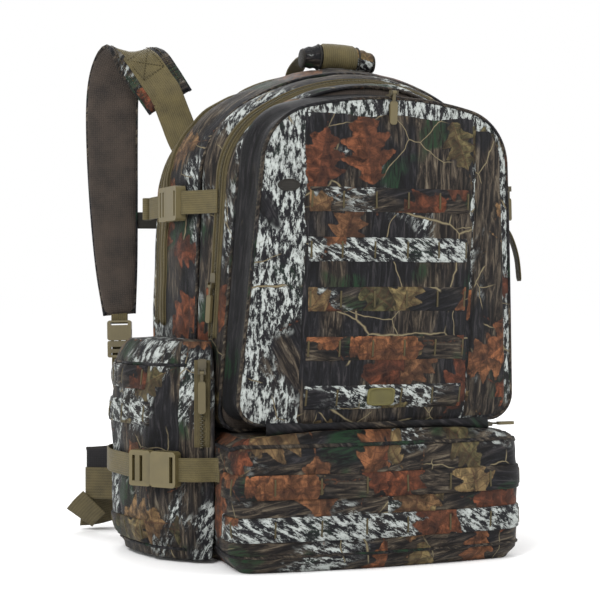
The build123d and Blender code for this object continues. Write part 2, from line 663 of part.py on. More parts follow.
BELT_FRAME = {
    "left": Plane(origin=(-155, 182, 31), x_dir=(1, -0.04, -0.1), z_dir=(-0.04, -0.94, -0.35)),
    "right": Plane(origin=(120, 182, 28), x_dir=(-1, -0.04, -0.1), z_dir=(0.04, -0.94, -0.35)),
}
with BuildPart() as belt_buckle_female:
    draw_buckle_female(BELT_FRAME["left"], BELT_BUCKLE)
save(belt_buckle_female.part, "belt_buckle_female")
with BuildPart() as belt_buckle_male:
    draw_buckle_male(BELT_FRAME["right"], BELT_BUCKLE)
save(belt_buckle_male.part, "belt_buckle_male")
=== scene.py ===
import math

import bmesh
import bpy
import numpy as np
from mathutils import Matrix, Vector
from mathutils.bvhtree import BVHTree


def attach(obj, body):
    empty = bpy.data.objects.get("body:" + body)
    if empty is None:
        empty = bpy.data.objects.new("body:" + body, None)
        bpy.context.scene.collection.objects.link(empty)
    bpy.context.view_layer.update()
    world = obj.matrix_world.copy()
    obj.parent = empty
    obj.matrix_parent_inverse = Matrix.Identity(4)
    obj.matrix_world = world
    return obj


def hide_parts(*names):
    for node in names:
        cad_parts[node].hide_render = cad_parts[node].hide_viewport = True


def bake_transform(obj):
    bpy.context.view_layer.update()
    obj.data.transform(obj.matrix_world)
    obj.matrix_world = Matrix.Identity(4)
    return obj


# Three-day hunting backpack: fabric, webbing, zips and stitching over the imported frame.
# Routes and sizes below are in millimetres and are turned into metres where they are used.

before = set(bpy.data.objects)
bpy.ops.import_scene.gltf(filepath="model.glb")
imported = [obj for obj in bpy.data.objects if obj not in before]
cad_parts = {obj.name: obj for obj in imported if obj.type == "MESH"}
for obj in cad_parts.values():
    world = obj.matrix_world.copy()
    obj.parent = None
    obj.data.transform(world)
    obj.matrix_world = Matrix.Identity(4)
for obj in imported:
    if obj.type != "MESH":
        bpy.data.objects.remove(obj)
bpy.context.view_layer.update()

MM = 0.001
LEFT = -1
RIGHT = 1
SIDES = {"left": LEFT, "right": RIGHT}

# The stuffed pack tips forward: up along the lean, and out of the front.
LEAN = math.radians(5.5)
ACROSS = np.array([1.0, 0.0, 0.0])
BACK = np.array([0.0, 1.0, 0.0])
UP = np.array([0.0, 0.0, 1.0])
LEAN_UP = np.array([0.0, -math.sin(LEAN), math.cos(LEAN)])
FORWARD = np.array([0.0, -math.cos(LEAN), -math.sin(LEAN)])

WEB = 25.4 * MM
PALS_PITCH = 50.8 * MM
PALS_FIRST = 179 * MM
PALS_HALF = 89 * MM
LOWER_ROWS = [46 * MM, 89 * MM]
SIDE_ROWS = [30 * MM, 158 * MM, 196 * MM]
UPPER_STRAP = 384 * MM
LOWER_STRAP = 101 * MM
REAR_ZIP = 96 * MM
MID_ZIP = -38 * MM


# ---- numbers and lines ----
def unit(vectors):
    lengths = np.linalg.norm(vectors, axis=-1, keepdims=True)
    return vectors / np.maximum(lengths, 1e-9)


def even(points, count):
    """Points spaced evenly along a line."""
    line = np.asarray(points, float)
    steps = np.linalg.norm(np.diff(line, axis=0), axis=1)
    along = np.concatenate([[0], np.cumsum(steps)])
    targets = np.linspace(0, along[-1], count)
    return np.column_stack([np.interp(targets, along, line[:, axis]) for axis in range(line.shape[1])])


def curve(points, count):
    """A smooth line through points, evenly spaced."""
    line = np.asarray(points, float)
    padded = np.vstack([2 * line[0] - line[1], line, 2 * line[-1] - line[-2]])
    dense = []
    for before, start, end, after in zip(padded, padded[1:], padded[2:], padded[3:]):
        for share in np.linspace(0, 1, 12, endpoint=False):
            square, cube = share ** 2, share ** 3
            dense.append(0.5 * (2 * start + (end - before) * share
                                + (2 * before - 5 * start + 4 * end - after) * square
                                + (3 * start - before - 3 * end + after) * cube))
    dense.append(line[-1])
    return even(dense, count)


def fade(value, low, high):
    """0 below low and 1 above high, with a soft step between."""
    share = np.clip((value - low) / (high - low), 0, 1)
    return share * share * (3 - 2 * share)


def swell(value, low, high):
    """A rounded hump between two values."""
    share = np.clip((value - low) / (high - low), 0, 1)
    return np.sin(math.pi * share) ** 0.6


def ripple(points, size, seed):
    """Smooth random waves of about that size, mostly from -1 to 1."""
    draw = np.random.default_rng(seed)
    waves = unit(draw.normal(size=(14, 3))) * (2 * math.pi / size) * draw.uniform(0.6, 1.5, (14, 1))
    phases = draw.uniform(0, 2 * math.pi, 14)
    return np.cos(points @ waves.T + phases).sum(axis=-1) / 5


def crease(points, size, seed):
    """Thin folds where smooth waves cross zero."""
    return (1 - np.clip(np.abs(ripple(points, size, seed)), 0, 1)) ** 4


def outward(grid, closed):
    """Unit normals of a grid of points, away from its middle."""
    body = grid[:, :-1] if closed else grid
    if closed:
        around = np.roll(body, -1, axis=1) - np.roll(body, 1, axis=1)
    else:
        around = np.gradient(body, axis=1)
    normal = unit(np.cross(np.gradient(body, axis=0), around))
    if (normal * (body - body.mean(axis=(0, 1)))).sum() < 0:
        normal = -normal
    if closed:
        normal = np.concatenate([normal, normal[:, :1]], axis=1)
    return normal


def lengths_along(line):
    return np.concatenate([[0], np.cumsum(np.linalg.norm(np.diff(line, axis=0), axis=1))])


def run_uv(grid, swap=False):
    """UVs in metres: across the columns, then along the rows."""
    around = lengths_along(grid[len(grid) // 2])
    along = lengths_along(grid[:, grid.shape[1] // 2])
    across, down = np.meshgrid(around, along)
    return np.stack([down, across] if swap else [across, down], axis=-1)


def flat_uv(grid, right, up):
    return np.stack([grid @ right, grid @ up], axis=-1)


# ---- surfaces that later pieces lie on ----
def tree_of(*objects):
    """Ray-casting tree of some meshes at rest."""
    corners, faces = [], []
    for obj in objects:
        start = len(corners)
        corners += [vertex.co.copy() for vertex in obj.data.vertices]
        faces += [[start + index for index in face.vertices] for face in obj.data.polygons]
    return BVHTree.FromPolygons(corners, faces)


def node_tree(*names):
    return tree_of(*[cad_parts[name] for name in names])


def ring(tree, centre, side, up, count, rays=300, reach=0.5):
    """Evenly spaced outline of a solid in a plane through a centre, starting below it."""
    hits = []
    for angle in np.linspace(0, 2 * math.pi, rays, endpoint=False) - math.pi / 2:
        out = side * math.cos(angle) + up * math.sin(angle)
        hit = tree.ray_cast(Vector(centre + out * reach), Vector(-out), reach)[0]
        if hit is not None:
            hits.append(np.array(hit))
    return even(hits + hits[:1], count)


def drape(tree, points, toward, lift, reach=0.12):
    """Points moved along toward until they meet a surface, then lifted off it."""
    flat = points.reshape(-1, 3)
    toward = np.broadcast_to(toward, points.shape).reshape(-1, 3)
    lifts = np.broadcast_to(lift, points.shape[:-1]).reshape(-1)
    landed = np.empty_like(flat)
    for index, (point, way, height) in enumerate(zip(flat, toward, lifts)):
        hit = tree.ray_cast(Vector(point - way * reach / 2), Vector(way), reach)[0]
        if hit is None:
            hit = tree.find_nearest(Vector(point))[0]
        landed[index] = np.array(hit) - way * height
    return landed.reshape(points.shape)


# ---- mesh building ----
class Build:
    """Gathers grids of points into one mesh, with UVs in metres."""

    def __init__(self):
        self.corners, self.quads, self.uvs, self.slots = [], [], [], []
        self.count = 0

    def add(self, grid, uv, slot=0):
        rows, columns = grid.shape[:2]
        index = np.arange(rows * columns).reshape(rows, columns)
        quads = np.stack([index[:-1, :-1], index[:-1, 1:], index[1:, 1:], index[1:, :-1]], axis=-1)
        quads = quads.reshape(-1, 4)
        self.corners.append(grid.reshape(-1, 3))
        self.uvs.append(uv.reshape(-1, 2)[quads].reshape(-1, 2))
        self.quads.append(quads + self.count)
        self.slots.append(np.full(len(quads), slot))
        self.count += rows * columns
        return self

    def cap(self, loop, right, up, crown=0.0, rings=10, slot=0, ruffle=0.0, seed=1):
        """Close a ring with shrinking rings that crown outward from its middle."""
        centre = loop[:-1].mean(axis=0)
        out = unit(np.cross(right, up))
        shares = np.linspace(1, 0, rings + 1)[:, None, None]
        grid = centre + (loop - centre) * shares
        height = crown * (1 - shares ** 2.5)
        if ruffle:
            height = height + ruffle * ripple(grid, 0.06, seed)[..., None] * (1 - shares ** 4)
        return self.add(grid + out * height, flat_uv(grid, right, up), slot)

    def tube(self, path, radius, sides=8, slot=0, ends=True):
        """A round cord along a path."""
        path = np.asarray(path, float)
        run = unit(np.gradient(path, axis=0))
        first = np.cross(run[0], UP if abs(run[0][2]) < 0.9 else ACROSS)
        sideways = [unit(first)]
        for direction in run[1:]:
            moved = sideways[-1] - direction * (sideways[-1] @ direction)
            sideways.append(unit(moved))
        sideways = np.array(sideways)
        other = np.cross(run, sideways)
        radius = np.broadcast_to(radius, len(path))[:, None, None]
        angles = np.linspace(0, 2 * math.pi, sides + 1)
        circle = (sideways[:, None] * np.cos(angles)[None, :, None]
                  + other[:, None] * np.sin(angles)[None, :, None])
        grid = path[:, None] + circle * radius
        if ends:
            grid = np.concatenate([np.repeat(path[None, :1], sides + 1, axis=1), grid,
                                   np.repeat(path[None, -1:], sides + 1, axis=1)])
        return self.add(grid, run_uv(grid), slot)

    def ribbon(self, path, across, width, thickness, crown=0.0, slot=0, under_slot=None, close=True):
        """A flat band along a path, soft at its edges; crown fills its middle like a pad."""
        path = np.asarray(path, float)
        run = unit(np.gradient(path, axis=0))
        across = np.broadcast_to(across, path.shape)
        across = unit(across - run * (across * run).sum(axis=-1, keepdims=True))
        normal = np.cross(across, run)
        width = np.broadcast_to(width, len(path))[:, None]
        shares = np.sin(np.linspace(-1, 1, 13) * math.pi / 2) * 0.5
        rise = 0.5 * thickness + crown * np.sqrt(np.clip(1 - (2 * shares) ** 4, 0, 1))
        rise[[0, -1]] = 0
        taper = np.ones(len(path))
        if close:
            taper[[0, -1]] = 0.0
            taper[[1, -2]] = 0.85
        if under_slot is None:
            under_slot = slot
        for sign, used in ((1, slot), (-1, under_slot)):
            grid = (path[:, None] + across[:, None] * (width * shares)[..., None]
                    + normal[:, None] * (sign * rise[None] * taper[:, None])[..., None])
            along = lengths_along(path)
            uv = np.stack(np.broadcast_arrays(along[:, None], width * shares), axis=-1)
            self.add(grid, uv, used)
        return self

    def band(self, tree, line, across, toward, width, lift, slot=0, puffs=None):
        """A band laid on a surface along a line, tucked down at its edges and ends."""
        line = np.asarray(line, float)
        shares = np.array([-0.5, -0.5, -0.46, -0.25, 0, 0.25, 0.46, 0.5, 0.5])
        heights = np.array([-0.2, 0.55, 1, 1, 1, 1, 1, 0.55, -0.2])
        across = np.broadcast_to(across, line.shape)
        starts = line[None] + across[None] * (shares * width)[:, None, None]
        raised = np.full(len(line), 1.0)
        raised[[0, -1]] = 0
        lifts = lift * heights[:, None] * raised[None]
        if puffs is not None:
            lifts = lifts + puffs[None] * (1 - (2 * shares) ** 2)[:, None]
        ways = np.broadcast_to(toward, line.shape)[None]
        grid = drape(tree, starts, np.broadcast_to(ways, starts.shape), lifts)
        along = lengths_along(line)
        uv = np.stack(np.broadcast_arrays(along[None], (shares * width)[:, None]), axis=-1)
        return self.add(grid, uv, slot)

    def finish(self, name, body, slot, materials, nodes=(), smooth=True):
        mesh = bpy.data.meshes.new(name)
        quads = np.concatenate(self.quads)
        mesh.from_pydata(np.concatenate(self.corners).tolist(), [], quads.tolist())
        layer = mesh.uv_layers.new(name="metres")
        layer.data.foreach_set("uv", np.concatenate(self.uvs).ravel())
        mesh.polygons.foreach_set("material_index", np.concatenate(self.slots).astype(np.int32))
        for material in materials:
            mesh.materials.append(material)
        work = bmesh.new()
        work.from_mesh(mesh)
        bmesh.ops.remove_doubles(work, verts=work.verts, dist=2e-5)
        bmesh.ops.recalc_face_normals(work, faces=work.faces)
        for face in work.faces:
            face.smooth = smooth
        work.to_mesh(mesh)
        work.free()
        obj = bpy.data.objects.new(name, mesh)
        bpy.context.scene.collection.objects.link(obj)
        if body is not None:
            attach(obj, body)
        if nodes:
            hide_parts(*nodes)
        return obj


# ---- node trees ----
class Graph:
    """Short calls that wire a node tree."""

    def __init__(self, tree):
        self.tree = tree

    def node(self, kind, values=(), **settings):
        made = self.tree.nodes.new("ShaderNode" + kind)
        for key, value in settings.items():
            setattr(made, key, value)
        for key, value in dict(values).items():
            self.feed(made.inputs[key], value)
        return made

    def feed(self, socket, value):
        if isinstance(value, bpy.types.NodeSocket):
            self.tree.links.new(value, socket)
        else:
            socket.default_value = value

    def math(self, operation, *values):
        return self.node("Math", enumerate(values), operation=operation).outputs[0]

    def vector(self, operation, *values):
        return self.node("VectorMath", enumerate(values), operation=operation).outputs[0]

    def noise(self, place, scale, detail=3.0, roughness=0.5, distortion=0.0):
        values = {"Vector": place, "Scale": scale, "Detail": detail, "Roughness": roughness,
                  "Distortion": distortion}
        return self.node("TexNoise", values, noise_dimensions="2D")

    def step(self, value, edge, soft):
        """0 to 1 as value passes an edge."""
        low = self.math("SUBTRACT", edge, soft)
        high = self.math("ADD", edge, soft)
        values = {"Value": value, "From Min": low, "From Max": high}
        return self.node("MapRange", values, interpolation_type="SMOOTHSTEP").outputs[0]

    def mix(self, share, first, second, blend="MIX"):
        values = {0: share, 6: first, 7: second}
        return self.node("Mix", values, data_type="RGBA", blend_type=blend).outputs[2]

    def ramp(self, value, stops):
        made = self.node("ValToRGB", {"Fac": value})
        elements = made.color_ramp.elements
        while len(elements) < len(stops):
            elements.new(0.5)
        for element, (place, colour) in zip(elements, stops):
            element.position = place
            element.color = (*colour, 1)
        return made.outputs["Color"]


CHARCOAL = (0.007, 0.007, 0.009)
BARK_DARK = (0.015, 0.012, 0.010)
BARK = (0.050, 0.038, 0.027)
BARK_PALE = (0.135, 0.112, 0.080)
LICHEN = (0.43, 0.46, 0.44)
MOSS = (0.010, 0.030, 0.013)
TWIG = (0.20, 0.17, 0.10)
COYOTE = (0.090, 0.072, 0.030)


def leaf_layer(graph, place, shift, amount, length):
    """Scattered lobed leaves: where they are, their shadow and their colour."""
    moved = graph.vector("ADD", place, shift)
    cells = graph.node("TexVoronoi", {"Vector": moved, "Scale": 0.66 / length, "Randomness": 0.72},
                       voronoi_dimensions="2D")
    local = graph.vector("SUBTRACT", moved, cells.outputs["Position"])
    draw = graph.node("SeparateColor", {"Color": cells.outputs["Color"]})
    turn = graph.math("MULTIPLY", draw.outputs["Red"], 6.283)
    turned = graph.node("VectorRotate", {"Vector": local, "Angle": turn}, rotation_type="Z_AXIS")
    axes = graph.node("SeparateXYZ", {"Vector": turned.outputs[0]})
    along = graph.math("MULTIPLY_ADD", axes.outputs["X"], 1 / length, 0.5)
    signed = graph.math("MULTIPLY", axes.outputs["Y"], 1 / length)
    side = graph.math("ABSOLUTE", signed)
    inside = graph.node("Clamp", {"Value": along}).outputs[0]
    envelope = graph.math("POWER", graph.math("SINE", graph.math("MULTIPLY", inside, math.pi)), 0.7)
    angled = graph.math("MULTIPLY_ADD", side, -9.0, graph.math("MULTIPLY", along, 24.0))
    lobes = graph.math("MULTIPLY_ADD", graph.math("COSINE", angled), 0.24, 0.76)
    ragged = graph.math("MULTIPLY_ADD", graph.noise(moved, 240.0, 2.0).outputs[0], 0.10, -0.05)
    half = graph.math("MULTIPLY_ADD", graph.math("MULTIPLY", envelope, lobes), 0.40, ragged)
    margin = graph.math("SUBTRACT", half, side)
    chosen = graph.math("LESS_THAN", draw.outputs["Green"], amount)
    mask = graph.math("MULTIPLY", graph.step(margin, 0.0, 0.012), chosen)
    shadow = graph.math("MULTIPLY", graph.step(margin, -0.05, 0.06), chosen)
    rib = graph.math("LESS_THAN", side, 0.012)
    angled = graph.math("FRACT", graph.math("MULTIPLY_ADD", side, -1.7, graph.math("MULTIPLY", along, 8.0)))
    vein = graph.math("LESS_THAN", angled, 0.12)
    veins = graph.math("MAXIMUM", rib, vein)
    colour = graph.ramp(draw.outputs["Blue"], [
        (0.0, (0.105, 0.033, 0.014)), (0.3, (0.055, 0.018, 0.010)), (0.5, (0.140, 0.054, 0.023)),
        (0.68, (0.080, 0.040, 0.020)), (0.84, (0.150, 0.112, 0.052)), (1.0, (0.040, 0.038, 0.018))])
    mottle = graph.noise(moved, 90.0, 6.0, 0.65, 0.4).outputs[0]
    shade = graph.ramp(mottle, [
        (0.32, (0.18, 0.17, 0.17)), (0.5, (0.9, 0.88, 0.86)), (0.66, (2.1, 2.0, 1.9))])
    colour = graph.mix(1.0, colour, shade, "MULTIPLY")
    fold = graph.math("MULTIPLY", graph.math("LESS_THAN", signed, 0.0), 0.4)
    colour = graph.mix(fold, colour, (0.02, 0.01, 0.008, 1))
    colour = graph.mix(graph.math("MULTIPLY", veins, 0.5), colour, (0.05, 0.02, 0.012, 1))
    return mask, shadow, colour


def twig_layer(graph, place, shift, scale, width, amount):
    """Thin forked branches: where they are and their light side."""
    moved = graph.vector("ADD", place, shift)
    wander = graph.vector("SUBTRACT", graph.noise(moved, 26.0, 3.0).outputs["Color"], (0.5, 0.5, 0.5))
    bent = graph.vector("MULTIPLY_ADD", wander, (0.014, 0.014, 0.0), moved)
    lines = graph.node("TexVoronoi", {"Vector": bent, "Scale": scale}, feature="DISTANCE_TO_EDGE",
                       voronoi_dimensions="2D").outputs["Distance"]
    kept = graph.step(graph.noise(moved, 13.0, 1.0).outputs[0], graph.math("SUBTRACT", 0.72, amount), 0.02)
    mask = graph.math("MULTIPLY", graph.math("LESS_THAN", lines, width), kept)
    lit = graph.step(lines, width * 0.45, width * 0.5)
    return mask, lit


def camo_group():
    """Woodland print: bark, lichen, moss, twigs and leaves, from UVs in metres."""
    tree = bpy.data.node_groups.new("woodland", "ShaderNodeTree")
    tree.interface.new_socket("Vector", in_out="INPUT", socket_type="NodeSocketVector")
    for name in ("Lichen", "Leaves", "Warmth", "Twigs"):
        tree.interface.new_socket(name, in_out="INPUT", socket_type="NodeSocketFloat")
    tree.interface.new_socket("Color", in_out="OUTPUT", socket_type="NodeSocketColor")
    graph = Graph(tree)
    entry = tree.nodes.new("NodeGroupInput").outputs
    place = entry["Vector"]

    grain_place = graph.vector("MULTIPLY", place, (1.0, 0.13, 1.0))
    grain = graph.noise(grain_place, 210.0, 8.0, 0.72, 0.5).outputs[0]
    broad = graph.noise(graph.vector("MULTIPLY", place, (1.0, 0.4, 1.0)), 17.0, 3.0).outputs[0]
    dark = graph.ramp(grain, [(0.38, (0.002, 0.002, 0.002)), (0.53, CHARCOAL), (0.70, (0.040, 0.036, 0.038))])
    warm = graph.ramp(grain, [
        (0.38, (0.004, 0.003, 0.003)), (0.48, BARK_DARK), (0.56, BARK), (0.68, BARK_PALE)])
    warmer = graph.math("MULTIPLY", entry["Warmth"], 0.25)
    warm_share = graph.step(graph.math("ADD", broad, warmer), 0.60, 0.05)
    colour = graph.mix(warm_share, dark, warm)

    moss_place = graph.vector("ADD", place, (3.1, 1.7, 0.0))
    moss_share = graph.step(graph.noise(moss_place, 15.0, 2.0).outputs[0], 0.64, 0.04)
    mottled = graph.math("MULTIPLY", moss_share, graph.step(grain, 0.50, 0.10))
    colour = graph.mix(mottled, colour, (*MOSS, 1))

    slanted = graph.node("VectorRotate", {"Vector": place, "Angle": 0.5}, rotation_type="Z_AXIS").outputs[0]
    flecks_place = graph.vector("MULTIPLY", slanted, (1.0, 0.36, 1.0))
    flecks = graph.noise(flecks_place, 175.0, 9.0, 0.78, 0.12).outputs[0]
    patches = graph.noise(graph.vector("MULTIPLY", place, (1.0, 0.6, 1.0)), 11.0, 4.0, 0.55).outputs[0]
    heavy = graph.math("ADD", patches, graph.math("MULTIPLY", entry["Lichen"], 0.35))
    coverage = graph.step(heavy, 0.66, 0.05)
    threshold = graph.math("MULTIPLY_ADD", heavy, -0.20, 0.665)
    white = graph.math("MULTIPLY", graph.step(flecks, threshold, 0.018), coverage)
    pale = graph.ramp(flecks, [(0.44, (0.13, 0.135, 0.13)), (0.60, LICHEN)])
    colour = graph.mix(graph.math("MULTIPLY", coverage, 0.7), colour, (*CHARCOAL, 1))
    colour = graph.mix(white, colour, pale)

    for shift, scale, width in (((0.4, 2.2, 0.0), 9.0, 0.011), ((5.3, 0.7, 0.0), 17.0, 0.012)):
        mask, lit = twig_layer(graph, place, shift, scale, width, entry["Twigs"])
        wood = graph.mix(lit, (*TWIG, 1), (0.06, 0.045, 0.03, 1))
        colour = graph.mix(mask, colour, wood)

    for shift, length in (((1.3, 4.1, 0.0), 0.068), ((7.9, 2.6, 0.0), 0.052), ((4.4, 8.8, 0.0), 0.074)):
        mask, shadow, leaf = leaf_layer(graph, place, shift, entry["Leaves"], length)
        colour = graph.mix(graph.math("MULTIPLY", shadow, 0.6), colour, (0.006, 0.005, 0.005, 1))
        colour = graph.mix(mask, colour, leaf)

    leave = tree.nodes.new("NodeGroupOutput")
    tree.links.new(colour, leave.inputs["Color"])
    return tree


def new_material(name):
    """A material with one shader, and the graph and shader to fill in."""
    material = bpy.data.materials.new(name)
    material.use_nodes = True
    graph = Graph(material.node_tree)
    return material, graph, material.node_tree.nodes["Principled BSDF"]


def weave_height(graph, place, pitch):
    """Over-and-under threads as a height from 0 to 1."""
    axes = graph.node("SeparateXYZ", {"Vector": place})
    waves = []
    for axis in ("X", "Y"):
        angle = graph.math("MULTIPLY", axes.outputs[axis], 2 * math.pi / pitch)
        waves.append(graph.math("SINE", angle))
    crossed = graph.math("MULTIPLY", waves[0], waves[1])
    return graph.math("MULTIPLY_ADD", crossed, 0.5, 0.5)


def bump(graph, shader, height, distance, strength=1.0):
    made = graph.node("Bump", {"Height": height, "Distance": distance, "Strength": strength})
    graph.feed(shader.inputs["Normal"], made.outputs["Normal"])


WOODLAND = camo_group()


def camo(name, shift, turn=0.0, lichen=0.3, leaves=0.4, warmth=0.4, twigs=0.1, tone=1.0):
    """Printed polyester: its own cut of the woodland print, a fine weave and soft wear."""
    material, graph, shader = new_material("camo_" + name)
    uv = graph.node("UVMap", uv_map="metres").outputs[0]
    turned = graph.node("VectorRotate", {"Vector": uv, "Angle": math.radians(turn)}, rotation_type="Z_AXIS")
    place = graph.vector("ADD", turned.outputs[0], (*shift, 0.0))
    printed = graph.node("Group", node_tree=WOODLAND)
    for key, value in (("Vector", place), ("Lichen", lichen), ("Leaves", leaves), ("Warmth", warmth),
                       ("Twigs", twigs)):
        graph.feed(printed.inputs[key], value)
    weave = weave_height(graph, uv, 0.0011)
    slubs = graph.noise(uv, 900.0, 2.0).outputs[0]
    cloth = graph.ramp(graph.math("MULTIPLY_ADD", slubs, 0.5, graph.math("MULTIPLY", weave, 0.5)),
                       [(0.25, (0.72 * tone,) * 3), (0.75, (1.12 * tone,) * 3)])
    graph.feed(shader.inputs["Base Color"], graph.mix(1.0, printed.outputs["Color"], cloth, "MULTIPLY"))
    wear = graph.noise(uv, 60.0, 4.0).outputs[0]
    rough = graph.node("MapRange", {"Value": wear, "To Min": 0.48, "To Max": 0.72})
    graph.feed(shader.inputs["Roughness"], rough.outputs[0])
    shader.inputs["Specular IOR Level"].default_value = 0.16
    shader.inputs["Sheen Weight"].default_value = 0.02
    bump(graph, shader, weave, 0.00018, 0.8)
    return material


def webbing(name, colour, rib=0.0016):
    """Woven nylon tape: ribs along it, chevrons across it, paler worn threads."""
    material, graph, shader = new_material(name)
    uv = graph.node("UVMap", uv_map="metres").outputs[0]
    axes = graph.node("SeparateXYZ", {"Vector": uv})
    zigzag = graph.math("PINGPONG", axes.outputs["Y"], rib * 1.5)
    slanted = graph.math("ADD", axes.outputs["X"], zigzag)
    chevron = graph.math("SINE", graph.math("MULTIPLY", slanted, 2 * math.pi / rib))
    ribs = graph.math("SINE", graph.math("MULTIPLY", axes.outputs["Y"], 2 * math.pi / (rib * 1.5)))
    height = graph.math("MULTIPLY_ADD", chevron, 0.35, graph.math("MULTIPLY_ADD", ribs, 0.3, 0.5))
    worn = graph.noise(uv, 55.0, 5.0, 0.6).outputs[0]
    shade = graph.math("MULTIPLY_ADD", height, 0.35, graph.math("MULTIPLY", worn, 0.75))
    dark = tuple(0.52 * part for part in colour)
    pale = tuple(1.28 * part for part in colour)
    graph.feed(shader.inputs["Base Color"], graph.ramp(shade, [(0.25, dark), (0.55, colour), (0.85, pale)]))
    rough = graph.node("MapRange", {"Value": worn, "To Min": 0.55, "To Max": 0.8})
    graph.feed(shader.inputs["Roughness"], rough.outputs[0])
    shader.inputs["Specular IOR Level"].default_value = 0.25
    shader.inputs["Sheen Weight"].default_value = 0.05
    bump(graph, shader, height, 0.0003, 0.9)
    return material


def moulded(name, colour, roughness=0.42, grain=900.0):
    """Moulded or painted hard part: fine grain, a little mottling, paler edges from handling."""
    material, graph, shader = new_material(name)
    place = graph.node("TexCoord").outputs["Object"]
    fine = graph.node("TexNoise", {"Vector": place, "Scale": grain, "Detail": 3.0}).outputs[0]
    broad = graph.node("TexNoise", {"Vector": place, "Scale": 60.0, "Detail": 4.0}).outputs[0]
    dark = tuple(0.75 * part for part in colour)
    pale = tuple(1.2 * part for part in colour)
    base = graph.ramp(broad, [(0.3, dark), (0.55, colour), (0.75, pale)])
    edge = graph.node("NewGeometry").outputs["Pointiness"]
    rubbed = graph.step(edge, 0.56, 0.04)
    worn = tuple(min(1.0, 1.9 * part) for part in colour)
    graph.feed(shader.inputs["Base Color"], graph.mix(graph.math("MULTIPLY", rubbed, 0.5), base, (*worn, 1)))
    rough = graph.node("MapRange", {"Value": broad, "To Min": roughness - 0.08, "To Max": roughness + 0.14})
    graph.feed(shader.inputs["Roughness"], rough.outputs[0])
    bump(graph, shader, fine, 0.0002, 0.5)
    return material


def lining(name, colour, cell=0.0026):
    """Brushed mesh lining: small holes in a soft knit."""
    material, graph, shader = new_material(name)
    uv = graph.node("UVMap", uv_map="metres").outputs[0]
    cells = graph.node("TexVoronoi", {"Vector": uv, "Scale": 1 / cell, "Randomness": 0.15},
                       voronoi_dimensions="2D").outputs["Distance"]
    soft = graph.noise(uv, 35.0, 5.0, 0.6).outputs[0]
    shade = graph.math("MULTIPLY_ADD", cells, -0.5, graph.math("ADD", soft, 0.15))
    dark = tuple(0.45 * part for part in colour)
    pale = tuple(1.45 * part for part in colour)
    graph.feed(shader.inputs["Base Color"], graph.ramp(shade, [(0.2, dark), (0.5, colour), (0.8, pale)]))
    rough = graph.node("MapRange", {"Value": soft, "To Min": 0.62, "To Max": 0.9})
    graph.feed(shader.inputs["Roughness"], rough.outputs[0])
    shader.inputs["Specular IOR Level"].default_value = 0.25
    shader.inputs["Sheen Weight"].default_value = 0.08
    bump(graph, shader, graph.math("MULTIPLY", cells, -1.0), 0.0006, 0.7)
    return material


TAPE_CLOTH = webbing("coyote_webbing", COYOTE)
ZIP_TAPE = webbing("coyote_zip_tape", (0.078, 0.062, 0.027), 0.0012)
BELT_CLOTH = webbing("coyote_belt_webbing", (0.082, 0.066, 0.031), 0.0022)
THREAD = webbing("olive_thread", (0.070, 0.056, 0.024), 0.0008)
DARK_TAPE = webbing("dark_binding", (0.018, 0.016, 0.013), 0.0012)
PLASTIC = moulded("coyote_acetal", (0.080, 0.064, 0.027))
SLIDER = moulded("slider_paint", (0.045, 0.036, 0.017), 0.35)
PULL = moulded("pull_rubber", (0.068, 0.054, 0.023), 0.55)
TEETH = moulded("coil_nylon", (0.036, 0.030, 0.015), 0.38)
RUBBER = moulded("patch_rubber", (0.085, 0.074, 0.016), 0.6)
SHEET = moulded("sheet_plastic", (0.03, 0.03, 0.03), 0.5)
LINING = lining("brown_lining", (0.036, 0.027, 0.021))
SLEEVE = lining("sleeve_cloth", (0.05, 0.05, 0.04), 0.0014)
WING = lining("black_wing_cloth", (0.010, 0.009, 0.010))

CAMO_MAIN = camo("main", (1.02, 2.31), lichen=0.15, leaves=0.62, warmth=0.3, twigs=0.10)
CAMO_MID = camo("mid", (3.46, 1.12), lichen=0.5, leaves=0.36, warmth=0.7, twigs=0.12)
CAMO_GUSSET = camo("gusset", (2.2, 5.1), lichen=-0.5, leaves=0.05, warmth=-0.5, twigs=0.0, tone=0.7)
CAMO_PANEL = camo("panel", (0.47, 3.35), turn=-28, lichen=0.75, leaves=0.14, warmth=-0.2, twigs=0.08)
CAMO_CENTRE = camo("centre", (2.75, 0.42), lichen=0.0, leaves=0.35, warmth=0.3, twigs=0.20)
CAMO_RIGHT = camo("right", (4.9, 2.2), lichen=0.15, leaves=0.72, warmth=0.5, twigs=0.1)
CAMO_LOWER = camo("lower", (6.2, 1.4), turn=80, lichen=0.2, leaves=0.60, warmth=0.7, twigs=0.12)
CAMO_SIDE = camo("side", (5.4, 6.3), lichen=0.35, leaves=0.62, warmth=0.5, twigs=0.08)
CAMO_STRAP = camo("strap", (8.1, 3.9), lichen=0.3, leaves=0.4, warmth=0.4, twigs=0.06)
CAMO_TRIM = camo("trim", (7.7, 7.1), turn=60, lichen=-0.2, leaves=0.1, warmth=0.5, twigs=0.0, tone=0.9)
ROW_LOOKS = [(0.6, 0.2, 0.5, 84), (0.1, 0.6, 0.8, 95), (0.05, 0.8, 0.3, 70), (0.75, 0.1, 0.1, 90),
             (0.15, 0.65, 0.6, 78)]
CAMO_ROWS = [camo(f"row_{index}", (1.3 + 2.1 * index, 9.2 - 0.7 * index), turn, lichen, leaves, warmth, 0.05)
             for index, (lichen, leaves, warmth, turn) in enumerate(ROW_LOOKS)]


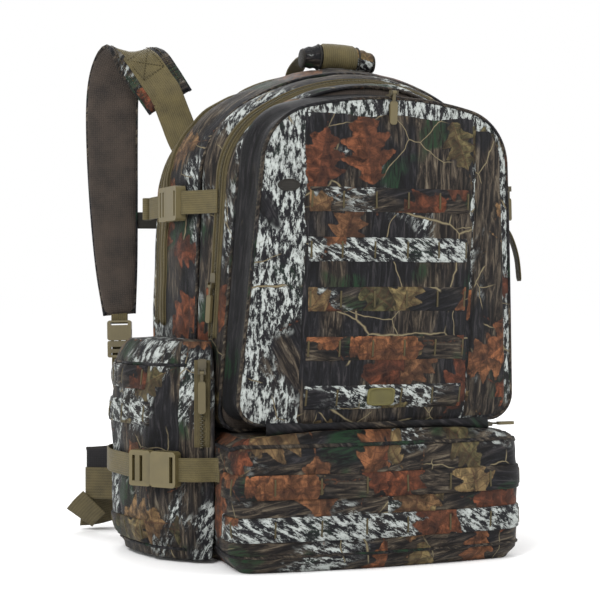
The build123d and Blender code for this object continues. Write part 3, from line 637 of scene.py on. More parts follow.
# ---- stitching, gathered for each body ----
class Stitching:
    """Raised thread stitches, kept together for each body."""

    def __init__(self):
        self.builds = {}

    def row(self, body, path, tree=None, pitch=0.0042, radius=0.00055, up=None):
        """A row of stitches along a path that lies on a surface."""
        length = lengths_along(path)[-1]
        points = even(path, max(3, int(length / pitch) + 1))
        build = self.builds.setdefault(body, Build())
        for start, end in zip(points, points[1:]):
            middle = (start + end) / 2
            if up is not None:
                normal = np.asarray(up, float)
            else:
                hit, hit_normal = tree.find_nearest(Vector(middle))[:2]
                normal = np.array(hit_normal)
                shift = np.array(hit) - middle
                start, end, middle = start + shift, end + shift, middle + shift
            run = (end - start) * 0.38
            side = unit(np.cross(run, normal)) * radius
            lift = normal * radius
            stations = np.array([middle - run - lift, middle - run * 0.6 + lift * 0.6,
                                 middle + run * 0.6 + lift * 0.6, middle + run - lift])
            section = np.array([side, lift, -side, -lift, side])
            scale = np.array([0.25, 1, 1, 0.25])[:, None, None]
            grid = stations[:, None] + section[None] * scale
            build.add(grid, run_uv(grid))

    def box_cross(self, body, centre, along, across, length, width, up):
        """A sewn rectangle with a cross in it."""
        corners = [centre + along * (a * length / 2) + across * (b * width / 2)
                   for a, b in ((-1, -1), (1, -1), (1, 1), (-1, 1))]
        order = [0, 1, 2, 3, 0, 2]
        for first, second in zip(order, order[1:]):
            self.row(body, np.array([corners[first], corners[second]]), up=up, pitch=0.0034)
        self.row(body, np.array([corners[1], corners[3]]), up=up, pitch=0.0034)

    def finish(self):
        for body, build in sorted(self.builds.items()):
            build.finish(f"stitching_{body}", body, "webbing", [THREAD])


stitching = Stitching()


# ---- compartments ----
def arch_ring(tree, depth, middle, count=221):
    centre = np.array([0.0, depth, 0.0]) + LEAN_UP * middle
    return ring(tree, centre, ACROSS, LEAN_UP, count)


def on_floor(grid, height=0.0006):
    grid[..., 2] = np.maximum(grid[..., 2], height)
    return grid


def strap_dent(grid, height, reach=0.024):
    """0 where a strap is pulled tight round the bag, 1 away from it."""
    beside = fade(np.abs(grid[..., 0]), 0.10, 0.14)
    return 1 - beside * np.exp(-((grid[..., 2] - height) / reach) ** 2)


def puffed(grid, amount, closed, seed, fold=0.0014):
    """Swell a shell, with soft waves and a few sharp folds."""
    normal = outward(grid, closed)
    waves = 0.0011 * ripple(grid, 0.075, seed) - fold * crease(grid * (1, 1, 0.6), 0.055, seed + 1)
    amount = amount[..., None]
    loose = np.clip(amount / 0.003, 0, 1)
    return grid + normal * (amount + waves[..., None] * loose)


def make_main():
    tree = node_tree("main_compartment")
    depths = np.linspace(121.5, -7.7, 33) * MM
    grid = np.stack([arch_ring(tree, depth, 0.26) for depth in depths])
    depth = np.broadcast_to(depths[:, None], grid.shape[:2])
    amount = 0.0042 * swell(depth, -0.008, 0.088) + 0.002 * swell(depth, 0.104, 0.122)
    amount = amount * fade(grid[..., 2], 0.0, 0.05) * strap_dent(grid, UPPER_STRAP)
    grid = on_floor(puffed(grid, amount, True, 11))
    build = Build().add(grid, run_uv(grid, swap=True))
    build.cap(grid[0], -ACROSS, LEAN_UP, 0.0, slot=1)
    build.cap(grid[-1], ACROSS, LEAN_UP, 0.0)
    made = build.finish("main_bag", "pack", "camo_fabric", [CAMO_MAIN, LINING], ["main_compartment"])
    return made, grid


def make_mid():
    tree = node_tree("mid_compartment")
    depths = np.linspace(-8.8, -62.4, 17) * MM
    grid = np.stack([arch_ring(tree, depth, 0.33) for depth in depths])
    depth = np.broadcast_to(depths[:, None], grid.shape[:2])
    amount = 0.0035 * swell(depth, -0.031, -0.008) + 0.0035 * swell(depth, -0.063, -0.046)
    amount = amount * fade(grid[..., 2], 0.14, 0.17) * strap_dent(grid, UPPER_STRAP)
    grid = puffed(grid, amount, True, 23)
    build = Build().add(grid, run_uv(grid, swap=True))
    build.cap(grid[0], -ACROSS, LEAN_UP, 0.0)
    build.cap(grid[-1], ACROSS, LEAN_UP, 0.0, slot=1)
    made = build.finish("mid_bag", "pack", "camo_fabric", [CAMO_MID, LINING], ["mid_compartment"])
    return made, grid


def hull(points):
    """Outline of a flat cloud of points, anticlockwise."""
    ordered = sorted(map(tuple, points))
    outline = []
    for run in (ordered, ordered[::-1]):
        part = []
        for point in run:
            while len(part) > 1:
                (ax, ay), (bx, by) = part[-2], part[-1]
                if (bx - ax) * (point[1] - ay) - (by - ay) * (point[0] - ax) > 0:
                    break
                part.pop()
            part.append(point)
        outline += part[:-1]
    return np.array(outline)


def panel_outline(count=221):
    """The front panel's outline across and up its lean, from the bottom centre round."""
    corners = np.array([vertex.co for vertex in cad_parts["front_panel"].data.vertices])
    outline = hull(np.column_stack([corners @ ACROSS, corners @ LEAN_UP]))
    outline = np.vstack([outline, outline[:1]])
    dense = even(outline, 900)[:-1]
    start = np.argmin(np.abs(dense[:, 0]) + (dense[:, 1] > 0.3) * 9)
    dense = np.roll(dense, -start, axis=0)
    return even(np.vstack([dense, dense[:1]]), count)


def surface_points(tree, flat, lift):
    """Points of a leaning outline put on the crowned front, seen from ahead."""
    points = flat[..., :1] * ACROSS + flat[..., 1:] * LEAN_UP + FORWARD * 0.14
    return drape(tree, points, -FORWARD, lift, 0.2)


def make_panel():
    tree = node_tree("front_panel")
    outline = panel_outline()
    centre = np.array([0.0, 0.32])
    shares = np.concatenate([[0.985, 0.994, 1.0, 0.994, 0.98, 0.955], np.linspace(0.92, 0.0, 22)])
    drops = np.concatenate([[0.0075, 0.0055, 0.0028, 0.0004, -0.0006, -0.0012], np.full(22, -0.0018)])
    flat = centre + (outline - centre) * np.minimum(shares, 0.985)[:, None, None]
    grid = surface_points(tree, flat, 0.0)
    spread = centre + (outline - centre) * shares[:, None, None]
    grid = grid + ((spread - flat)[..., :1] * ACROSS + (spread - flat)[..., 1:] * LEAN_UP)
    inner = 1 - np.clip(shares, 0, 1)[:, None]
    crown = 0.0025 * np.clip(inner * 4, 0, 1)
    waves = (0.0013 * ripple(grid, 0.085, 31) - 0.0013 * crease(grid, 0.07, 32)) * np.clip(inner * 6, 0, 1)
    grid = grid + FORWARD * (crown + waves - drops[:, None])[..., None]
    uv = flat_uv(grid, ACROSS, LEAN_UP)
    build = Build().add(grid, uv)
    inside = np.concatenate([grid[:1], grid[4:] - FORWARD * 0.0045])
    build.add(inside, flat_uv(inside, ACROSS, LEAN_UP), 1)
    looks = [CAMO_PANEL, LINING]
    made = build.finish("front_panel_shell", "front_panel", "camo_fabric", looks, ["front_panel"])
    return made, grid, outline


def make_gusset(panel_grid):
    """Soft wall between the middle bag's front seam and the front panel's zip."""
    tree = node_tree("front_pocket_gusset")
    rear = arch_ring(tree, -0.0645, 0.33)
    front = panel_grid[0] - FORWARD * 0.0022
    shares = np.linspace(0, 1, 15)[:, None, None]
    grid = rear * (1 - shares) + front * shares
    sink = -0.0038 * np.sin(math.pi * shares[..., 0]) ** 0.8
    pleat = 0.0012 * np.sin(shares[..., 0] * 3 * math.pi)
    normal = outward(grid, True)
    waves = 0.0012 * ripple(grid, 0.05, 41) * np.sin(math.pi * shares[..., 0])
    grid = grid + normal * (sink + pleat + waves)[..., None]
    middle = rear[:-1].mean(axis=0)
    flange = middle + (grid[:1] - middle) * np.array([0.88, 0.96, 0.985, 0.997])[:, None, None]
    build = Build().add(np.concatenate([flange, grid]), run_uv(np.concatenate([flange, grid]), swap=True))
    build.finish("front_gusset", "pack", "camo_fabric", [CAMO_GUSSET], ["front_pocket_gusset"])


def stacked(*runs):
    """Heights in metres from runs of (lowest, highest, count) in millimetres."""
    return np.concatenate([np.linspace(*run) for run in runs]) * MM


def make_lower():
    tree = node_tree("lower_pocket")
    heights = stacked((0.4, 12, 5), (18, 120, 20), (124, 137.4, 6))
    rings = []
    for height in heights:
        sample = min(max(height, 0.002), 0.125)
        outline = ring(tree, np.array([0.0, -0.085, sample]), ACROSS, BACK, 261)
        outline[:, 2] = height
        rings.append(outline)
    grid = np.stack(rings)
    level = grid[..., 2]
    inset = 0.009 * (1 - fade(level, 0, 0.014)) + 0.013 * fade(level, 0.122, 0.138) ** 2
    bulge = 0.0038 * np.sin(math.pi * np.clip(level / 0.138, 0, 1)) ** 0.7
    outer = fade(-grid[..., 1], 0.03, 0.07)
    middle = np.array([0.0, -0.085, 0.0])
    normal = unit((outward(grid, True)) * (1, 1, 0))
    waves = 0.0016 * ripple(grid, 0.07, 51) - 0.0018 * crease(grid * (0.6, 1, 1), 0.05, 52)
    grid = grid + normal * ((bulge - inset + waves * fade(level, 0.0, 0.02)) * outer)[..., None]
    lip = fade(-grid[..., 1], 0.134, 0.146) * fade(level, 0.116, 0.136) * 0.007
    grid = grid + UP * lip[..., None]
    grid = on_floor(grid)
    build = Build().add(grid, run_uv(grid))
    build.cap(grid[-1], ACROSS, BACK, 0.0003, ruffle=0.0002, seed=53, rings=16)
    build.cap(grid[0], ACROSS, -BACK, 0.0)
    made = build.finish("lower_bag", "pack", "camo_fabric", [CAMO_LOWER], ["lower_pocket"])
    return made, grid, middle


def make_side():
    tree = node_tree("side_pocket")
    heights = stacked((4.4, 26, 7), (32, 190, 24), (196, 235.4, 12))
    rings = []
    for height in heights:
        sample = min(max(height, 0.007), 0.224)
        centre = np.array([-0.198, 0.004, sample])
        outline = ring(tree, centre, ACROSS, BACK, 181)
        outline[:, 2] = height
        rings.append(outline)
    grid = np.stack(rings)
    level = grid[..., 2]
    dome = 1 - np.sqrt(np.clip(1 - (np.clip(level - 0.170, 0, 1) / 0.067) ** 2, 0, 1))
    foot = (1 - fade(level, 0.0, 0.075)) ** 2
    shrink = 1 - 0.30 * dome - 0.16 * foot
    pull = np.stack([shrink, shrink * 0.35 + 0.65, np.ones_like(shrink)], axis=-1)
    hinge = np.array([-0.175, 0.004, 0.0])
    grid = hinge * (1 - pull) * (1, 1, 0) + grid * pull
    outer = fade(-grid[..., 0], 0.178, 0.195)
    normal = unit(outward(grid, True) * (1, 1, 0))
    bulge = 0.0035 * np.sin(math.pi * np.clip(level / 0.236, 0, 1)) ** 0.7
    squeeze = 1 - np.exp(-((level - LOWER_STRAP) / 0.022) ** 2)
    waves = 0.0017 * ripple(grid, 0.055, 60) - 0.0022 * crease(grid * (1, 1, 0.6), 0.045, 62)
    grid = grid + normal * ((bulge * squeeze + waves * (0.35 + 0.65 * squeeze)) * outer)[..., None]
    build = Build().add(grid, run_uv(grid))
    build.cap(grid[-1], ACROSS, BACK, 0.003, ruffle=0.0012, seed=65)
    build.cap(grid[0], ACROSS, -BACK, 0.0)
    return build.finish("side_bag", "pack", "camo_fabric", [CAMO_SIDE], ["side_pocket"]), grid


main_bag, main_grid = make_main()
mid_bag, mid_grid = make_mid()
panel, panel_grid, panel_edge = make_panel()
make_gusset(panel_grid)
lower_bag, lower_grid, lower_middle = make_lower()
side_bag, side_grid = make_side()

MAIN_TREE = tree_of(main_bag)
MID_TREE = tree_of(mid_bag)
PANEL_TREE = tree_of(panel)
LOWER_TREE = tree_of(lower_bag)
SIDE_TREE = tree_of(side_bag)


def hinge_strip():
    """Cloth that closes the fold between the front panel's foot and the lower pocket."""
    edge = panel_grid[4]
    edge = edge[(edge @ LEAN_UP < 0.170) & (np.abs(edge[:, 0]) < 0.128)]
    top = even(edge[np.argsort(edge[:, 0])], 70) + FORWARD * 0.0004
    foot = top * (1, 1, 0) + (0, 0.004, 0.139)
    foot[:, 1] = np.minimum(foot[:, 1], -0.1375)
    foot = drape(LOWER_TREE, foot, -UP, -0.0008)
    shares = np.linspace(0, 1, 9)[:, None, None]
    grid = top * (1 - shares) + foot * shares
    grid = grid + FORWARD * 0.0024 * np.sin(math.pi * shares)
    grid = grid + BACK * (0.0008 * ripple(grid, 0.03, 91) * np.sin(math.pi * shares[..., 0]))[..., None]
    strip = Build().add(grid, run_uv(grid)).finish("hinge_cloth", None, "camo_fabric", [CAMO_TRIM])
    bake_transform(strip)


hinge_strip()


# ---- piping along the seams ----
def piping():
    build = Build()
    for row, radius in ((main_grid[0], 1.7), (main_grid[-1], 2.0)):
        build.tube(on_floor(row.copy(), radius * MM), radius * MM, ends=False)
    build.tube(mid_grid[-1], 2.2 * MM, ends=False)
    top = lower_grid[-5]
    build.tube(top[top[:, 1] < -0.03], 2.1 * MM)
    foot = lower_grid[5]
    build.tube(on_floor(foot[foot[:, 1] < -0.03], 0.0018), 1.6 * MM)
    for row in (3, -8):
        line = side_grid[row]
        build.tube(line[line[:, 0] < -0.19], 1.7 * MM)
    build.finish("seam_piping", "pack", "camo_fabric", [CAMO_TRIM])
    build = Build()
    build.tube(panel_grid[3], 1.9 * MM, ends=False)
    build.finish("panel_piping", "front_panel", "camo_fabric", [CAMO_TRIM])


piping()


# ---- front panel: centre and right cloth, webbing rows, patches ----
SEAM_LEFT = -0.094
SEAM_RIGHT = 0.094


def half_width(height):
    """The panel's half width at a height up its lean."""
    right = panel_edge[panel_edge[:, 0] > 0]
    order = np.argsort(right[:, 1])
    return np.interp(height, right[order, 1], right[order, 0])


def overlay(name, left, right, low, high, material, seed):
    """A cloth panel sewn on the front, given by its edges' distance across."""
    heights = np.linspace(low, high, 46)
    columns = np.linspace(0, 1, 22)
    lifts = np.full((46, 22), 0.0011)
    lifts[[0, -1]] = -0.0006
    lifts[:, [0, -1]] = -0.0006
    across = left(heights)[:, None] * (1 - columns) + right(heights)[:, None] * columns
    flat = np.stack([across, np.broadcast_to(heights[:, None], across.shape)], axis=-1)
    grid = surface_points(PANEL_TREE, flat, lifts + 0.0004 * (1 + ripple(flat @ np.eye(2, 3), 0.05, seed)))
    build = Build().add(grid, flat_uv(grid, ACROSS, LEAN_UP))
    build.finish(name, "front_panel", "camo_fabric", [material])
    for column in (1, -2):
        line = grid[2:-2, column]
        stitching.row("front_panel", line, PANEL_TREE)


def front_cloth():
    overlay("front_centre_cloth", lambda z: np.full_like(z, SEAM_LEFT), lambda z: np.full_like(z, SEAM_RIGHT),
            0.156, 0.484, CAMO_CENTRE, 71)
    overlay("front_right_cloth", lambda z: np.full_like(z, SEAM_RIGHT + 0.001),
            lambda z: np.maximum(half_width(z) - 0.010, SEAM_RIGHT + 0.004), 0.168, 0.472, CAMO_RIGHT, 73)


front_cloth()


def webbing_row(build, tree, line, across, toward, bars, slot=0, bulge=0.0016):
    """A load-bearing row: webbing held down by bar tacks, bulging a little between them."""
    along = lengths_along(line)
    puffs = np.zeros(len(line))
    for first, second in zip(bars, bars[1:]):
        puffs = puffs + bulge * np.where((along >= first) & (along <= second),
                                         swell(along, first + 0.001, second - 0.001), 0)
    build.band(tree, line, across, toward, WEB, 0.0021, slot, puffs)


def bar_tack(build, tree, point, across, toward, height=0.021, lift=0.0029):
    """A dense bar of thread across a webbing row."""
    line = point[None] + np.linspace(-0.5, 0.5, 9)[:, None] * height * across
    side = unit(np.cross(across, toward))
    build.band(tree, line, side, toward, 0.0019, lift)


def front_rows():
    build = Build()
    tacks = Build()
    bars = np.linspace(0, 2 * PALS_HALF, 6)
    for row in range(5):
        height = PALS_FIRST + row * PALS_PITCH
        xs = np.linspace(-PALS_HALF, PALS_HALF, 76)
        line = np.column_stack([xs, np.full(76, -0.16), np.full(76, height)])
        webbing_row(build, PANEL_TREE, line, UP, BACK, bars, slot=row)
        for bar in bars:
            here = np.array([np.clip(bar - PALS_HALF, -PALS_HALF + 0.003, PALS_HALF - 0.003), -0.16, height])
            bar_tack(tacks, PANEL_TREE, here, UP, BACK)
    build.finish("front_rows", "front_panel", "webbing", CAMO_ROWS, ["front_webbing"])
    tacks.finish("front_bar_tacks", "front_panel", "webbing", [THREAD])


front_rows()


def patches():
    """The rubber patch on the lowest row and the sewn oval badge, both plain."""
    front = tree_of(bpy.data.objects["front_rows"], bpy.data.objects["front_panel_shell"])
    build = Build()
    angles = np.linspace(0, 2 * math.pi, 61)
    shapes = (((-0.005, PALS_FIRST), (0.0150, 0.0095), 5.0, 0), ((-0.110, 0.396), (0.0112, 0.0062), 2.0, 1))
    for (x, z), (half, tall), power, slot in shapes:
        edge = np.column_stack([np.sign(np.cos(angles)) * np.abs(np.cos(angles)) ** (2 / power) * half,
                                np.sign(np.sin(angles)) * np.abs(np.sin(angles)) ** (2 / power) * tall])
        shares = np.array([1.0, 1.0, 0.97, 0.88, 0.83, 0.82, 0.6, 0.3, 0.0])
        lifts = np.array([-0.0006, 0.0012, 0.0021, 0.0021, 0.0019, 0.0013, 0.0014, 0.0014, 0.0014])
        flat = edge[None] * shares[:, None, None]
        points = np.stack([x + flat[..., 0], np.full(flat.shape[:2], -0.16), z + flat[..., 1]], axis=-1)
        grid = drape(front, points, BACK, lifts[:, None])
        build.add(grid, flat_uv(grid, ACROSS, UP), slot)
    build.finish("patch_and_badge", "front_panel", "patch_rubber", [RUBBER, DARK_TAPE], ["front_patches"])


patches()


# ---- lower and side pocket rows ----
def ring_line(tree, middle, height, count, keep):
    """The part of a pocket's outline at a height that a row covers, with its inward ways."""
    centre = np.array([middle[0], middle[1], height])
    outline = ring(tree, centre, ACROSS, BACK, 400)
    kept = outline[keep(outline)]
    jump = np.linalg.norm(np.diff(kept, axis=0), axis=1)
    if len(jump) and jump.max() > 0.02:
        cut = int(np.argmax(jump)) + 1
        kept = np.vstack([kept[cut:], kept[:cut]])
    line = even(kept, count)
    run = unit(np.gradient(line, axis=0) * (1, 1, 0))
    inward = np.column_stack([-run[:, 1], run[:, 0], np.zeros(len(run))])
    if ((centre - line) * inward).sum() < 0:
        inward = -inward
    return line, inward


def lower_rows():
    build = Build()
    tacks = Build()
    for index, height in enumerate(LOWER_ROWS):
        line, inward = ring_line(LOWER_TREE, lower_middle, height, 130, lambda p: p[:, 1] < -0.109)
        length = lengths_along(line)[-1]
        bars = np.linspace(0.030, length - 0.030, 8)
        webbing_row(build, LOWER_TREE, line, UP, inward, bars, slot=index)
        for bar in bars:
            place = int(round(bar / length * 129))
            bar_tack(tacks, LOWER_TREE, line[place], UP, inward[place])
    build.finish("lower_rows", "pack", "webbing", [CAMO_ROWS[3], CAMO_ROWS[1]], ["lower_webbing"])
    side_build = Build()
    for index, height in enumerate(SIDE_ROWS):
        line, inward = ring_line(SIDE_TREE, (-0.198, 0.004), height, 60, lambda p: p[:, 0] < -0.226)
        length = lengths_along(line)[-1]
        bars = np.linspace(0.008, length - 0.008, 4)
        webbing_row(side_build, SIDE_TREE, line, UP, inward, bars, slot=index)
        for bar in bars:
            place = int(round(bar / length * 59))
            bar_tack(tacks, SIDE_TREE, line[place], UP, inward[place])
    side_build.finish("side_rows", "pack", "webbing", [CAMO_ROWS[2], CAMO_ROWS[0], CAMO_ROWS[4]],
                      ["side_webbing"])
    tacks.finish("pack_bar_tacks", "pack", "webbing", [THREAD])


lower_rows()


# ---- zips ----
def arch_line(tree, depth, low, middle, count=170):
    """A line over a bag at a depth, from its left side at a height over to its right side."""
    outline = arch_ring(tree, depth, middle, 500)
    heights = outline @ LEAN_UP
    kept = outline[heights > low]
    jump = np.linalg.norm(np.diff(kept, axis=0), axis=1)
    if jump.max() > 0.02:
        cut = int(np.argmax(jump)) + 1
        kept = np.vstack([kept[cut:], kept[:cut]])
    return even(kept, count)


def coil(build, path, normal, pitch=0.0021, half=0.0021, height=0.0011, slot=0):
    """Interlocked coil teeth along a path, leaning to one side and the other in turn."""
    length = lengths_along(path)[-1]
    count = int(length / pitch)
    points = even(path, count)
    normals = unit(even(normal, count))
    run = unit(np.gradient(points, axis=0))
    side = unit(np.cross(run, normals))
    for index in range(count):
        lean = 1 if index % 2 else -1
        middle = points[index] + side[index] * lean * half * 0.35 + normals[index] * height * 0.4
        reach = side[index] * half * 0.8
        thick = run[index] * pitch * 0.34
        rise = normals[index] * height
        section = np.array([-reach - rise, -reach + rise * 0.7, reach + rise * 0.7,
                            reach - rise, -reach - rise])
        grid = np.stack([middle - thick * 0.3 + section * 0.55, middle - thick + section,
                         middle + thick + section, middle + thick * 0.3 + section * 0.55])
        build.add(grid, run_uv(grid), slot)


def arch_zip(name, tree, depth, low, middle, node, tape, look, lift=0.0016):
    """A zip over a bag: its tape may run wider than its coil, from one depth to another."""
    coil_line = arch_line(tree, depth, low, middle)
    tape_line = arch_line(tree, sum(tape) / 2, low, middle)
    width = abs(tape[1] - tape[0])
    out = unit(np.cross(unit(np.gradient(tape_line, axis=0)), FORWARD))
    if (out * (tape_line - tape_line.mean(axis=0))).sum() < 0:
        out = -out
    build = Build()
    build.band(tree, tape_line, FORWARD, -out, width, lift)
    for shift in (-0.0042, 0.0042):
        build.tube(drape(tree, coil_line + FORWARD * shift, -out, lift + 0.0004), 0.0011, sides=6)
    if width > 0.02:
        build.tube(drape(tree, tape_line + FORWARD * width * 0.46, -out, lift + 0.0006), 0.0017, sides=8)
        build.tube(drape(tree, tape_line + FORWARD * width * 0.16, -out, lift + 0.0002), 0.0011, sides=8)
    made = build.finish(name, "pack", "zip_tape", [look], [node])
    teeth = Build()
    coil(teeth, drape(tree, coil_line, -out, lift * 0.9), out)
    teeth.finish(name + "_coil", "pack", "zip_tape", [TEETH])
    cloth = tree_of(made)
    for edge in (0.30, 0.40):
        stitching.row("pack", drape(tree, tape_line + FORWARD * width * edge, -out, lift + 0.0002), cloth)


arch_zip("rear_zip_tape", MAIN_TREE, REAR_ZIP, 0.242, 0.26, "rear_zip", (0.104, 0.064), ZIP_TAPE)
arch_zip("mid_zip_tape", MID_TREE, MID_ZIP, 0.242, 0.33, "mid_zip", (-0.031, -0.045), ZIP_TAPE)


def front_zip():
    """The front pocket's zip, on the panel's turned-back edge."""
    keep = (panel_grid[0] @ LEAN_UP) > 0.186
    ring_rear = panel_grid[0]
    normal = outward(panel_grid[:4], True)[1]
    line = ring_rear[keep] + FORWARD * 0.0035
    out = normal[keep]
    build = Build()
    across = -FORWARD
    shares = np.linspace(-0.5, 0.5, 5)
    grid = line[None] + across * (shares * 0.009)[:, None, None] + out[None] * 0.0007
    build.add(grid, run_uv(grid))
    build.finish("front_zip_tape", "front_panel", "zip_tape", [ZIP_TAPE], ["front_zip"])
    teeth = Build()
    coil(teeth, line + out * 0.0009, out)
    teeth.finish("front_zip_coil", "front_panel", "zip_tape", [TEETH])


front_zip()


def pocket_zips():
    build = Build()
    teeth = Build()
    xs = np.linspace(-0.138, 0.138, 60)
    line = np.column_stack([xs, np.full(60, -0.128), np.full(60, 0.139)])
    build.band(LOWER_TREE, line, BACK, -UP, 0.013, 0.0007)
    coil(teeth, drape(LOWER_TREE, line, -UP, 0.0004), np.tile(UP, (60, 1)), height=0.0008)
    out = unit(np.array([-8.0, -25.0, 0.0]))
    line = np.column_stack([np.full(40, -0.1765), np.full(40, -0.0778), np.linspace(0.124, 0.216, 40)])
    build.band(SIDE_TREE, line, unit(np.cross(out, UP)), -out, 0.017, 0.0014)
    coil(teeth, drape(SIDE_TREE, line, -out, 0.0013), np.tile(out, (40, 1)))
    build.finish("pocket_zip_tapes", "pack", "zip_tape", [ZIP_TAPE], ["pocket_zips"])
    teeth.finish("pocket_zip_coils", "pack", "zip_tape", [TEETH])


pocket_zips()


# ---- compression straps ----
# Drawn for the left side, in plan, from rear to front; each front run starts inside its buckle.
UPPER_REAR = [(-193.6, 98), (-192.7, 73), (-185.1, 5)]
UPPER_FRONT = [(-185.6, -26), (-186.2, -34), (-175.5, -48), (-165, -64), (-159, -76)]
BAG_REAR = [(-193.9, 118), (-192.7, 100), (-185.3, 32)]
BAG_FRONT = [(-185.6, 1), (-186.2, -7), (-176.5, -22), (-166, -42), (-162.6, -70)]
POCKET_REAR = [(-193.5, 96), (-239.5, 85.6), (-251.6, 43), (-245.4, 1), (-236, -31.4), (-221.5, -46.6)]
POCKET_FRONT = [(-203.2, -72.6), (-197.6, -78.4), (-185, -84.6), (-166, -88.6), (-162.4, -96)]
STRAP_RUNS = [
    (LEFT, UPPER_STRAP, UPPER_REAR), (LEFT, UPPER_STRAP, UPPER_FRONT),
    (LEFT, LOWER_STRAP, POCKET_REAR), (LEFT, LOWER_STRAP, POCKET_FRONT),
    (RIGHT, UPPER_STRAP, UPPER_REAR), (RIGHT, UPPER_STRAP, UPPER_FRONT),
    (RIGHT, LOWER_STRAP, BAG_REAR), (RIGHT, LOWER_STRAP, BAG_FRONT),
]
LOOSE_END = [(188, -44, 368), (199, -46, 352), (207, -47, 328), (210, -48, 300)]


def plan_line(points, height, side, count=40):
    placed = [(-side * x * MM, y * MM, height) for x, y in points]
    return curve(placed, count)


def compression_straps():
    build = Build()
    for side, height, points in STRAP_RUNS:
        build.ribbon(plan_line(points, height, side), UP, WEB, 0.0018)
    for side in SIDES.values():
        turns = np.linspace(0, 4.6 * math.pi, 60)
        radius = 0.0014 + 0.0042 * turns / turns[-1]
        centre = np.array([side * 0.1955, 0.1035, UPPER_STRAP])
        roll = np.column_stack([radius * np.cos(turns), radius * np.sin(turns), np.zeros(60)]) + centre
        build.ribbon(roll, UP, WEB, 0.0014)
    build.ribbon(curve(np.array(LOOSE_END) * MM, 24), (0.3, 1, 0), WEB, 0.0018)
    build.finish("compression_straps", "pack", "webbing", [TAPE_CLOTH], ["compression_webbing"])


compression_straps()


# ---- carry handle ----
def handle():
    xs = np.linspace(-0.042, 0.042, 41)
    centre = np.column_stack([xs, np.full(41, -0.008), 0.5535 - 0.03 * xs - 2.2 * xs ** 2])
    share = np.abs(xs) / 0.042
    radius = 0.0134 * (1 - 0.22 * share ** 3) + 0.0005 * np.sin(xs * 700)
    radius[[0, -1]] *= 0.86
    build = Build().tube(centre, radius, sides=28)
    grip = build.finish("handle_roll", "handle", "camo_fabric", [CAMO_STRAP], ["handle_grip"])
    trim = Build()
    for end in (0, -1):
        out = ACROSS * (-1 if end == 0 else 1)
        path = np.array([centre[end] - out * 0.0008, centre[end] + out * 0.0012])
        trim.tube(path, [0.0112, 0.0100], sides=28)
    for where in (9, -10):
        angles = np.linspace(0, 2 * math.pi, 41)
        loop = centre[where] + np.column_stack([np.zeros(41), np.cos(angles), np.sin(angles)]) * 0.0139
        trim.tube(loop, 0.0009, sides=6, ends=False)
    trim.finish("handle_trim", "handle", "webbing", [DARK_TAPE])
    straps = Build()
    angles = np.linspace(0, 2 * math.pi, 49)
    rows = np.linspace(-0.0205, 0.0205, 15)
    height = 0.5535 - 0.03 * rows - 2.2 * rows ** 2
    reach = np.full(15, 0.0152)
    reach[[0, -1]] = 0.0136
    sleeve = np.stack([np.broadcast_to(rows[:, None], (15, 49)), -0.008 + reach[:, None] * np.cos(angles),
                       height[:, None] + reach[:, None] * np.sin(angles)], axis=-1)
    straps.add(sleeve, run_uv(sleeve))
    for side in SIDES.values():
        route = [(side * 31 * MM, y * MM, z * MM) for y, z in ((66, 528), (50, 545), (24, 553), (4, 554.5))]
        straps.ribbon(curve(route, 24), ACROSS, 0.020, 0.0018)
    straps.finish("handle_straps", "handle", "webbing", [TAPE_CLOTH], ["handle_webbing"])


handle()


# ---- shoulder straps ----
STRAP_ACROSS = {"left": (0.94, -0.34, 0), "right": (1, -0.08, 0)}
STRAP_TOP = {
    "left": [(-128, 93, 430), (-148, 104, 462), (-158, 114, 492)],
    "right": [(128, 93, 430), (127, 103, 462), (124, 114, 488)],
}
STRAP_PAD = {
    "left": [(-163, 120, 512, 56), (-178, 134, 540, 58), (-190, 147, 560, 60), (-203, 163, 568, 60),
             (-213, 176, 558, 60), (-219, 184, 530, 60), (-220, 186, 480, 60), (-219, 182, 400, 56),
             (-217, 175, 320, 48), (-215, 166, 260, 36)],
    "right": [(122, 122, 502, 56), (118, 138, 522, 58), (113, 154, 534, 60), (110, 170, 538, 60),
              (108, 187, 532, 60), (108, 199, 512, 60), (111, 205, 470, 60), (118, 204, 400, 56),
              (130, 196, 330, 48), (141, 186, 272, 36)],
}
STRAP_MEETING = {"left": (-215, 164.5, 229), "right": (145, 180.5, 241)}
STRAP_DOWN = {"left": (0, -0.06, -1), "right": (0.1, -0.14, -1)}
STRAP_LOW = {"left": [(-208, 138, 156), (-190, 114, 130)], "right": [(168, 146, 160), (190, 114, 130)]}
STERNUM = {"left": [(-205, 176), (-189, 172), (-160, 168), (-122, 162)],
           "right": [(104, 204), (88, 204), (60, 200), (22, 192)]}
STERNUM_HEIGHT = 374


